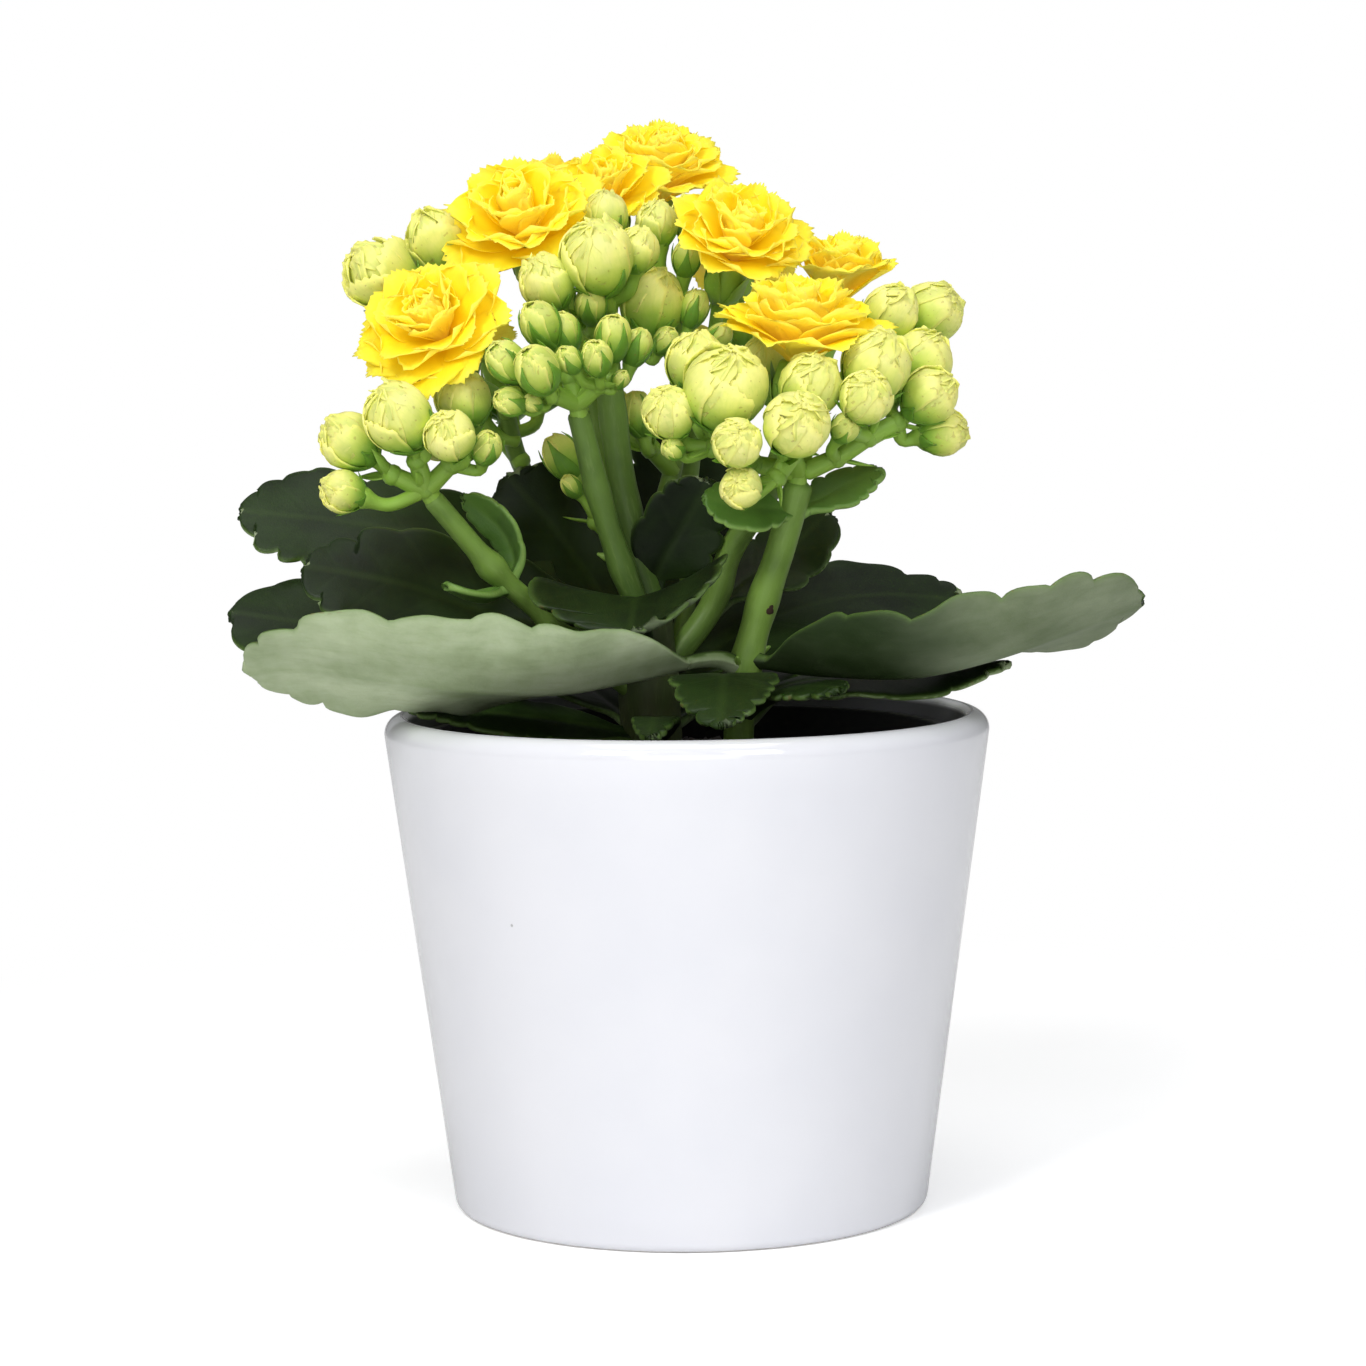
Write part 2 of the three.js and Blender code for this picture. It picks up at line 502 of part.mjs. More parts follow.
// ---- flowers ----
function flowerSolid({ centre, axis, radius, stalk }, grow) {
  const share = radius / FLOWER_FULL_RADIUS;
  const profile = FLOWER_PROFILE.map(([r, z]) => [r * share, z * share]);
  const facing = vec(axis).normalize();
  const turn = new THREE.Quaternion().setFromUnitVectors(new THREE.Vector3(0, 0, 1), facing);
  const head = lathe(profile, FLOWER_SIDES).applyQuaternion(turn).translate(...centre);
  const top = vec(centre).addScaledVector(facing, FLOWER_SEAT - FLOWER_DEPTH * share).toArray();
  const line = [...stalk].reverse().concat([top]);
  return tube(line, STALK_RADIUS, BRANCH_SIDES, STALK_STEP, grow).add(toSolid(head));
}

// ---- pots and peat ----
const potOuter = (z) => mix(POT_BASE_RADIUS, POT_RIM_RADIUS, z / POT_HEIGHT);
const nurseryOuter = (z) => mix(NURSERY_BASE_RADIUS, NURSERY_RIM_RADIUS, z / NURSERY_RIM_Z);

function arc(cr, cz, radius, fromDegrees, toDegrees, steps) {
  const points = [];
  for (let i = 0; i <= steps; i += 1) {
    const angle = radians(mix(fromDegrees, toDegrees, i / steps));
    points.push([cr + radius * Math.cos(angle), cz + radius * Math.sin(angle)]);
  }
  return points;
}

function coverPot() {
  const lipZ = POT_HEIGHT - LIP_OUTER_RADIUS;
  const innerZ = POT_HEIGHT - LIP_INNER_RADIUS;
  const profile = [[0, 0],
    ...arc(potOuter(POT_BASE_FILLET) - POT_BASE_FILLET, POT_BASE_FILLET, POT_BASE_FILLET, -90, 0, 3),
    ...arc(potOuter(lipZ) - LIP_OUTER_RADIUS, lipZ, LIP_OUTER_RADIUS, 0, 90, 4),
    ...arc(potOuter(POT_HEIGHT) - POT_WALL + LIP_INNER_RADIUS, innerZ, LIP_INNER_RADIUS, 90, 180, 3),
    [potOuter(POT_FLOOR) - POT_WALL, POT_FLOOR + POT_FLOOR_CHAMFER],
    [potOuter(POT_FLOOR) - POT_WALL - POT_FLOOR_CHAMFER, POT_FLOOR],
    [0, POT_FLOOR]];
  return toSolid(lathe(profile, POT_SIDES));
}

function nurseryPot() {
  const foot = POT_FLOOR + GAP;
  const flangeZ = NURSERY_RIM_Z - NURSERY_FLANGE_HEIGHT;
  const profile = [[0, foot], [nurseryOuter(foot), foot], [nurseryOuter(flangeZ), flangeZ],
    [nurseryOuter(flangeZ) + NURSERY_FLANGE, flangeZ], [NURSERY_RIM_RADIUS + NURSERY_FLANGE, NURSERY_RIM_Z],
    [NURSERY_RIM_RADIUS - NURSERY_WALL, NURSERY_RIM_Z],
    [nurseryOuter(foot) - NURSERY_WALL, foot + NURSERY_WALL], [0, foot + NURSERY_WALL]];
  let shell = toSolid(lathe(profile, NURSERY_SIDES));
  for (let i = 0; i < DRAIN_HOLES; i += 1) {
    const angle = 2 * Math.PI * i / DRAIN_HOLES;
    const radius = DRAIN_HOLE_RADIUS;
    const plug = new THREE.CylinderGeometry(radius, radius, DRAIN_PLUG_HEIGHT, DRAIN_SIDES);
    plug.rotateX(Math.PI / 2);
    plug.translate(DRAIN_CIRCLE_RADIUS * Math.cos(angle), DRAIN_CIRCLE_RADIUS * Math.sin(angle), foot);
    shell = shell.subtract(toSolid(plug));
  }
  return shell;
}

function peat() {
  const bottom = POT_FLOOR + GAP + NURSERY_WALL + GAP;
  const inset = NURSERY_WALL + GAP;
  const profile = [[0, bottom], [nurseryOuter(bottom) - inset, bottom],
    [nurseryOuter(PEAT_EDGE_Z) - inset, PEAT_EDGE_Z], [PEAT_SHOULDER_RADIUS, PEAT_SHOULDER_Z],
    [0, PEAT_CENTRE_Z]];
  const ball = toSolid(lathe(profile, NURSERY_SIDES));
  return ball.subtract(stemSolid('crown_stem', GAP)).subtract(stemSolid('stem_right_front', GAP));
}

// ---- assembly ----
add('cover_pot', coverPot(), GLAZE);
add('nursery_pot', nurseryPot(), BLACK_PLASTIC);
add('growing_medium', peat(), PEAT);

for (const [name, stem] of Object.entries(STEMS)) {
  const solid = stemSolid(name, 0);
  const look = name === 'crown_stem' ? OLD_STEM : STEM_GREEN;
  add(name, stem.on ? solid.subtract(carrierSolid(stem.on, GAP)) : solid, look);
}

for (const [name, leaf] of Object.entries(LEAVES)) {
  const look = name.startsWith('bract') ? BRACT_GREEN : LEAF_GREEN;
  add(name, leafSolid(leaf).subtract(stemSolid(leaf.on, GAP)), look);
}

for (const [name, cyme] of Object.entries(CYMES)) {
  add(name, cymeSolid(name, 0).subtract(carrierSolid(cyme.on, GAP)), BUD_GREEN);
}

for (const [name, flower] of Object.entries(FLOWERS)) {
  add(name, flowerSolid(flower, 0).subtract(carrierSolid(flower.on, GAP)), PETAL_YELLOW);
}

export default plant;
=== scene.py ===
"""A potted double-flowered kalanchoe: what the CAD part looks like, piece by piece, in Blender."""

import math
import random

import bmesh
import bpy
import numpy as np
from mathutils import Matrix, Vector, noise


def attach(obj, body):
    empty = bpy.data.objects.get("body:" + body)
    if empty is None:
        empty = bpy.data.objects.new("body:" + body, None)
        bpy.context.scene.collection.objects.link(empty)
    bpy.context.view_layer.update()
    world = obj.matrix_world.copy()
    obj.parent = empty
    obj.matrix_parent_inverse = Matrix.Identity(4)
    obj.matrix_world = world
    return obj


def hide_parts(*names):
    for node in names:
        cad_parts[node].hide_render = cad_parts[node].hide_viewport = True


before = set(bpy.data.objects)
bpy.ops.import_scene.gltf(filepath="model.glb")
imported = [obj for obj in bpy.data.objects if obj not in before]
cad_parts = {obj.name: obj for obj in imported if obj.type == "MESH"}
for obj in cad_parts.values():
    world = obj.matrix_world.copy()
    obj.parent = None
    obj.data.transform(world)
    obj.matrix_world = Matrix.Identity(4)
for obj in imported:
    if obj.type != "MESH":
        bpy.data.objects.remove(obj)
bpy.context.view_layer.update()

# ---------------------------------------------------------------- sizes, in millimetres

MM = 0.001
# Vertices closer than this, in metres, become one.
WELD = 2e-7
# Free space between one pot and the next, and between pot and peat.
GAP = 0.3

POT_HEIGHT, POT_RIM_RADIUS, POT_BASE_RADIUS = 65.3, 40, 31.2
POT_WALL, POT_FLOOR, POT_FILLET, POT_INNER_FILLET = 3.6, 3.2, 1.4, 3
LIP_OUTER, LIP_INNER = 2.4, 1.2
# The unglazed ring that the pot stands on, and the hollow inside the ring.
FOOT_RING, FOOT_RECESS = 5.4, 0.5

NURSERY_RIM_Z, NURSERY_RIM_RADIUS, NURSERY_BASE_RADIUS = 62.8, 34.3, 25.6
NURSERY_WALL, NURSERY_FLANGE, NURSERY_FLANGE_HEIGHT = 0.8, 0.9, 2.5
NURSERY_LIP_OUTER, NURSERY_LIP_INNER = 0.4, 0.3
# The middle of its floor is raised by this much, out to this radius.
NURSERY_RAISE, NURSERY_RAISED_RADIUS = 0.6, 18
DRAIN_HOLES, DRAIN_RADIUS, DRAIN_CIRCLE = 6, 2.5, 16

PEAT_EDGE_Z, PEAT_CENTRE_Z = 57.6, 59
CRUMB_KINDS, CRUMBS_PER_SQUARE_METRE = 5, 900000.0
CRUMB_SMALLEST, CRUMB_LARGEST = 0.16, 1.0

LEAF_THICKNESS, PETIOLE_HALF = 1.5, 1.4
PETIOLE_ROWS, BLADE_ROWS = 10, 110
LEAF_COLUMNS = (0, 0.05, 0.12, 0.22, 0.34, 0.47, 0.6, 0.72, 0.82, 0.89, 0.94, 0.97, 0.99, 1)
# Where the blade's rim starts to round off, as a share of its half width.
RIM_START = 0.88
# Veins leave the rib this far apart and lean to the tip by this share of their way out.
VEIN_SPACING, VEIN_LEAN = 6.5, 0.75
# The rim's ripple: its height as a share of the half width, and its long and short wave.
RIPPLE, LONG_WAVE, SHORT_WAVE = 0.04, 17, 7.4
# The scallops of a broad and of a small leaf: their distance and depth.
BROAD_LOBES, SMALL_LOBES, BROAD_FROM = (9.0, 1.9), (4.2, 1.0), 6

# The shapes of bud that are repeated, each a seed and a kind.
BUD_SHAPES = ((11, "ripe"), (23, "ripe"), (37, "ripe"), (51, "ripe"),
              (5, "young"), (8, "young"), (3, "loose"), (4, "loose"))
# A bud thinner than this is a young one, and so is each bud of the young cymes. In the loose one, the petals
# begin to part.
YOUNG_BELOW = 2.2
YOUNG_CYMES = ("buds_centre_front", "buds_back_low", "buds_inner")
LOOSE_CYME = "buds_left_back"

FLOWER_FULL_RADIUS = 9.8
GOLDEN_ANGLE = math.radians(137.5)
PETALS_OF_A_KIND = 4
# The five kinds of petal from heart to rim: length, half width, start radius, start height,
# lean at the foot and at the end in degrees, cup, ruffle.
WHORLS = (
    (5.4, 1.5, 0.3, 3.4, 2, -30, 0.9, 0.32),
    (7.4, 2.2, 0.6, 2.4, 8, 10, 0.75, 0.34),
    (8.9, 3.2, 0.8, 1.4, 20, 42, 0.45, 0.38),
    (10.3, 4.3, 0.9, 0.5, 34, 70, 0.28, 0.42),
    (11.1, 5.0, 1.0, -0.3, 46, 90, 0.14, 0.46),
)
# The green cup of a full-sized flower, as (radius, height from the flower's middle), and how far below that
# middle its stalk ends.
FLOWER_CUP = ((0, -13.6), (1.0, -13.5), (1.9, -12.9), (2.6, -11.6), (2.95, -10), (2.9, -8.4),
              (2.6, -7), (2.3, -6), (0, -5.4))
STALK_END = 13.2

# The middle of the plant's head, from which buds turn outwards.
HEART = (-4, 4, 96)

# The camera that sees what the photograph saw.
PICTURE_WIDTH = 1366
SENSOR_WIDTH = 36
LENS_PIXELS = 3885.6
CAMERA_PLACE = (-0.447, -508.85, 115.5)
CAMERA_PITCH, CAMERA_ROLL = 0.0912, 0.0104

# The studio, in metres and watts: each softbox has its place, aim, width and height, power and tint.
SOFTBOXES = {
    "key_softbox": ((-0.5, -0.82, 0.95), (0, 0, 0.08), (0.38, 0.46), 8.3, (1, 1, 1)),
    "fill_softbox": ((0.46, -0.84, 0.85), (0, 0, 0.08), (0.36, 0.44), 4.5, (0.94, 0.96, 1.0)),
    "top_softbox": ((0.0, 0.0, 1.15), (0, 0, 0.08), (0.7, 0.6), 3.5, (1, 1, 1)),
    "front_softbox": ((0.0, -1.2, 0.4), (0, 0, 0.06), (0.9, 0.6), 3.1, (1, 1, 1)),
}
ROOM_LIGHT = 0.19

# ---------------------------------------------------------------- layout, in millimetres
# The CAD part's layout, apart from leaves and flowers that curl, turn or sit a little differently here.

# Each stem by its radius and its line, and by these:
#   age                 how old it looks at its foot and higher up, from 0 to 1
#   nodes               where it swells, as (share of its length, swelling)
#   scars, shoots       where leaves came off and where new ones start, as (share of its length, turn about
#                       the stem in degrees, size)
STEMS = {
    "crown_stem": {
        "radius": 3.6, "age": (1.0, 0.6), "nodes": ((0.5, 0.1), (0.75, 0.14)),
        "scars": ((0.5, 30, 1.5), (0.75, 200, 1.4)),
        "line": [[-4, 1, 44], [-4.5, 0.5, 58], [-5, -0.3, 70], [-5.2, -0.6, 77.2]],
    },
    "stem_right_front": {
        "radius": 1.9, "age": (0.5, 0.0), "nodes": ((0.5, 0.16), (0.68, 0.14)),
        "scars": ((0.67, 60, 1.1), (0.5, 70, 1.0), (0.79, -160, 0.8)),
        "shoots": ((0.53, 160, 1.6), (0.5, -20, 1.5)),
        "line": [[6.4, -7, 48], [7.2, -8, 69], [9.7, -9, 79.4], [12.2, -10.5, 86.9], [14.5, -12.3, 95]],
    },
    "stem_right_back": {
        "radius": 1.6, "nodes": ((0.4, 0.14), (0.72, 0.12)), "scars": ((0.4, -40, 0.7),),
        "line": [[-4.8, 0, 69], [-0.5, 1, 73.6], [3.5, 2, 79], [5.9, 1.2, 86], [10.5, -1, 93.6],
                 [14.3, -3, 103]],
    },
    "stem_centre_front": {
        "radius": 1.55, "age": (0.9, 0.45), "nodes": ((0.3, 0.14), (0.66, 0.12)),
        "shoots": ((0.34, 10, 1.6),),
        "line": [[-5.8, -2.6, 76], [-6.4, -3.2, 79.5], [-8.2, -4, 84.4], [-10.9, -6, 93.4],
                 [-13.4, -9, 104.3]],
    },
    "stem_centre_back": {
        "radius": 1.8, "age": (0.9, 0.45), "nodes": ((0.45, 0.12), (0.8, 0.1)), "scars": ((0.45, 20, 0.8),),
        "line": [[-4.2, 1.7, 76], [-4.6, 2, 80], [-6.2, 2, 85.1], [-8.4, 2, 97], [-10, 2, 111]],
    },
    "stem_left_front": {
        "radius": 1.4, "age": (0.5, 0.0), "nodes": ((0.42, 0.3), (0.7, 0.4)), "scars": ((0.43, 90, 0.6),),
        "line": [[-5, -1, 66.5], [-12.5, -2.8, 73], [-19, -4.8, 79], [-23.5, -6.8, 83.2], [-32, -12, 93.8]],
    },
    "stem_thin_middle": {
        "radius": 0.95,
        "line": [[-5.4, 2, 82], [-8, 6.5, 86.5], [-10.6, 8.5, 93.5], [-11.3, 9.3, 101], [-12.5, 9.5, 108]],
    },
    "stem_back_left": {
        "radius": 1.3,
        "line": [[-4.8, 0.4, 65.8], [-10.5, 11, 72.2], [-13, 18.5, 79.4], [-19.5, 22.8, 92],
                 [-22.4, 21, 97.5], [-24.6, 14.5, 108]],
    },
    "stem_back_middle": {
        "radius": 1.3,
        "line": [[-4.8, 0, 70.2], [-4.6, 6.8, 77], [-3.8, 12.5, 88], [-1.1, 13.8, 98.5], [-0.5, 13, 106]],
    },
    "stem_back_right": {
        "radius": 1.2,
        "line": [[-4.8, 0, 67.4], [-0.8, 7.2, 74.6], [0.6, 14.5, 84], [0.6, 17.5, 93], [2, 17.5, 106]],
    },
}

# Each leaf by its rib and by these, of which most leaves keep the usual ones:
#   half                its half width
#   stalk               the share of the rib before the blade
#   twist               its turn about the rib at foot and tip, in degrees
#   left, right         how far each half folds up at foot and tip, in degrees
#   bend                how far the left and the right half curve from rib to margin, in degrees
#   up                  where its upper side looks
#   foot, tip           how suddenly the blade widens and closes
#   lobes               distance and depth of its scallops
#   droop               how far its rim hangs
#   pale                how little painted shade darkens its lower side at foot and tip, and the two
#                       shares of the rib between which that changes
LEAF_USUAL = {"stalk": 0.14, "bend": (10, 10), "up": (0, 0, 1), "foot": 5.0, "tip": 5.0, "droop": 0.5,
              "pale": (0.3, 0.8, 0.2, 0.6)}
LEAVES = {
    "leaf_left_front": {
        "half": 13.2, "twist": (14, 44), "left": (56, 22), "right": (40, 0), "bend": (70, 10), "foot": 7.0,
        "lobes": (10.0, 2.0), "pale": (0.95, 1.0, 0.2, 0.6),
        "rib": [[7.3, -8, 71.5], [3.8, -10.5, 73.2], [-5.9, -16, 71.8], [-16, -20, 70.4],
                [-26, -21.5, 70.8], [-38.5, -21, 72.3], [-49, -19, 73.4], [-55.8, -17.5, 72.8]],
    },
    "leaf_right_front": {
        "half": 12.6, "stalk": 0.05, "twist": (-16, -36), "left": (66, 6), "right": (60, 18),
        "bend": (6, 60), "foot": 7.0, "tip": 8.0, "lobes": (8.6, 2.0), "pale": (0.0, 0.42, 0.38, 0.66),
        "rib": [[8.3, -8.4, 73], [13, -11, 72.2], [18.4, -14, 71.8], [29, -17.5, 71.8], [39.5, -17, 74],
                [48.8, -15.5, 77], [58.2, -13, 80]],
    },
    "leaf_right_low": {
        "half": 8.4, "twist": (6, 6), "left": (2, 0), "right": (-4, -4), "lobes": (8.0, 1.8),
        "rib": [[7.2, -7.5, 64.6], [12, -4.6, 68.2], [20, -5, 69.6], [30, -7.2, 69.8], [41.5, -9.2, 71.8]],
    },
    "leaf_left_back": {
        "half": 11.8, "stalk": 0.3, "twist": (-24, -40), "left": (6, 4), "right": (8, 4), "tip": 7.0,
        "lobes": (7.4, 2.6),
        "rib": [[-5.6, 0.6, 71], [-10, 4.6, 74.6], [-14.8, 9.4, 79.2], [-26, 14.8, 85.2], [-42, 17, 88.8],
                [-60, 16, 91.2]],
    },
    "leaf_left_middle": {
        "half": 11.4, "twist": (-4, -34), "left": (8, 4), "right": (8, 4), "foot": 6.0, "tip": 9.0,
        "lobes": (12.0, 0.7),
        "rib": [[-5, 0.4, 69.6], [-13, 1.8, 71], [-25, 2, 72.4], [-40, 2, 75.2], [-60, 2.5, 78.4]],
    },
    "leaf_left_upper": {
        "half": 11, "stalk": 0.18, "twist": (-52, -42), "left": (18, -2), "right": (8, 4), "foot": 9.0,
        "lobes": (8.0, 2.6),
        "rib": [[-5, 0.2, 73.6], [-12, 0.8, 75.6], [-24, -0.4, 77.8], [-38, -0.8, 82.4], [-50, -1, 84.6]],
    },
    "leaf_centre_front": {
        "half": 14.6, "stalk": 0.4, "twist": (4, 4), "left": (26, 30), "right": (16, 20), "bend": (24, 10),
        "foot": 8.0, "lobes": (6.4, 1.8), "droop": 0.1, "pale": (0.0, 0.2, 0.2, 0.6),
        "rib": [[-5, -1.5, 72], [-5.6, -5.8, 75.8], [-6, -7.2, 79.6], [-6.3, -10, 80.6], [-6.6, -14, 79.4],
                [-7, -18.8, 77]],
    },
    "leaf_centre_upright": {
        "half": 6, "twist": (0, 0), "left": (8, 8), "right": (8, 8), "up": (0.2, -1, 0.2), "foot": 8.0,
        "lobes": (6.0, 1.2),
        "rib": [[-4.6, 2, 80.4], [-3.2, 1, 84.5], [0, -0.2, 90], [3.2, -1.9, 95.7]],
    },
    "leaf_right_back": {
        "half": 11, "twist": (14, 30), "left": (8, 4), "right": (6, 2),
        "rib": [[-4.8, 0, 65.2], [4, 7.4, 72.4], [14, 12.5, 77], [26, 16, 78.8], [38.5, 20, 77.6]],
    },
    "leaf_right_back_upper": {
        "half": 7.4, "twist": (20, 34), "left": (10, 4), "right": (10, 4),
        "rib": [[3.2, 1.9, 78.4], [8, 6.6, 81.8], [14, 9.5, 85.5], [19.5, 11, 90.5]],
    },
    "leaf_front_small": {
        "half": 7.6, "stalk": 0.2, "twist": (0, 0), "left": (4, 0), "right": (4, 0), "foot": 8.0,
        "tip": 2.4, "lobes": (3.8, 1.8), "droop": 0.1, "pale": (0.0, 0.1, 0.2, 0.6),
        "rib": [[7, -7.8, 66.4], [5, -12, 70.2], [4.7, -20, 71.3], [4.4, -28, 69.6], [4.2, -34.4, 66.8]],
    },
    "leaf_front_right_small": {
        "half": 5, "twist": (6, 10), "left": (4, 2), "right": (4, 2), "lobes": (3.6, 1.2),
        "pale": (0.0, 0.1, 0.2, 0.6),
        "rib": [[7.2, -8, 65.8], [11, -12, 68.3], [14.6, -18, 69.6], [19, -24.4, 70]],
    },
    "leaf_rim_left": {
        "half": 5.8, "twist": (-34, -14), "left": (6, 4), "right": (6, 4), "pale": (0.0, 0.2, 0.2, 0.6),
        "rib": [[-4.6, 0, 61.6], [-15, -4.5, 64], [-25, -7.6, 65.6], [-36.4, -9, 67.2]],
    },
    "leaf_rim_front": {
        "half": 3.2, "twist": (0, 0), "left": (10, 6), "right": (10, 6), "pale": (0.0, 0.1, 0.2, 0.6),
        "rib": [[-4.2, 0, 60.4], [-3.6, -14, 65], [-4.2, -25, 66.3], [-4.5, -32.6, 65]],
    },
    "leaf_back_left_upright": {
        "half": 9.4, "stalk": 0.3, "twist": (0, 0), "left": (8, 6), "right": (8, 6), "up": (0.3, -1, 0.4),
        "tip": 7.0, "lobes": (6.4, 1.3),
        "rib": [[-4.9, 0.3, 68.8], [-8.8, 8.8, 75], [-12.4, 14.2, 81], [-17.5, 17.2, 88],
                [-24, 18.6, 95.6]],
    },
    "leaf_back_centre": {
        "half": 10, "twist": (0, 0), "left": (8, 6), "right": (8, 6), "up": (0, -1, 0.4), "tip": 7.0,
        "rib": [[-4.6, 0.2, 63.6], [-3, 10.6, 68.8], [-0.8, 21.8, 78.5], [0, 26.8, 91], [1, 28.2, 105]],
    },
    "leaf_back_left_low": {
        "half": 12, "twist": (0, -6), "left": (12, 4), "right": (12, 4),
        "rib": [[-4.6, 0.2, 61.8], [-14, 12, 67.6], [-26, 25, 72.2], [-37, 36, 72.2]],
    },
    "leaf_back_right": {
        "half": 12, "twist": (0, 6), "left": (12, 4), "right": (12, 4),
        "rib": [[-4.6, 0.2, 62], [6, 12, 67.4], [17, 25, 71.6], [28, 37, 71.2]],
    },
    "bract_left_large": {
        "half": 2.8, "twist": (0, 0), "left": (26, 20), "right": (26, 20), "up": (-0.8, -1, 0.3),
        "lobes": (4.0, 0.5),
        "rib": [[-23.3, -6.8, 82.6], [-22, -4.4, 85.6], [-23.8, -3.4, 89.8], [-28.6, -4, 94]],
    },
    "bract_left_small": {
        "half": 2.2, "twist": (0, 0), "left": (20, 10), "right": (20, 10), "lobes": (4.0, 0.0),
        "rib": [[-23.3, -6.8, 82.6], [-25.8, -9.8, 81.4], [-28, -11.6, 81.8], [-30.6, -13, 83]],
    },
    "bract_right_inner": {
        "half": 4.4, "twist": (-48, -52), "left": (14, 6), "right": (14, 6), "lobes": (4.0, 0.6),
        "rib": [[13.7, -11.7, 91.8], [10, -15, 92.4], [6, -17, 93], [2.6, -18, 94]],
    },
    "bract_right_outer": {
        "half": 4.2, "twist": (26, 30), "left": (12, 6), "right": (12, 6),
        "rib": [[13.7, -11.7, 91.8], [17.4, -9.6, 93.2], [21.4, -7.6, 95], [25.4, -6.8, 96.8]],
    },
}

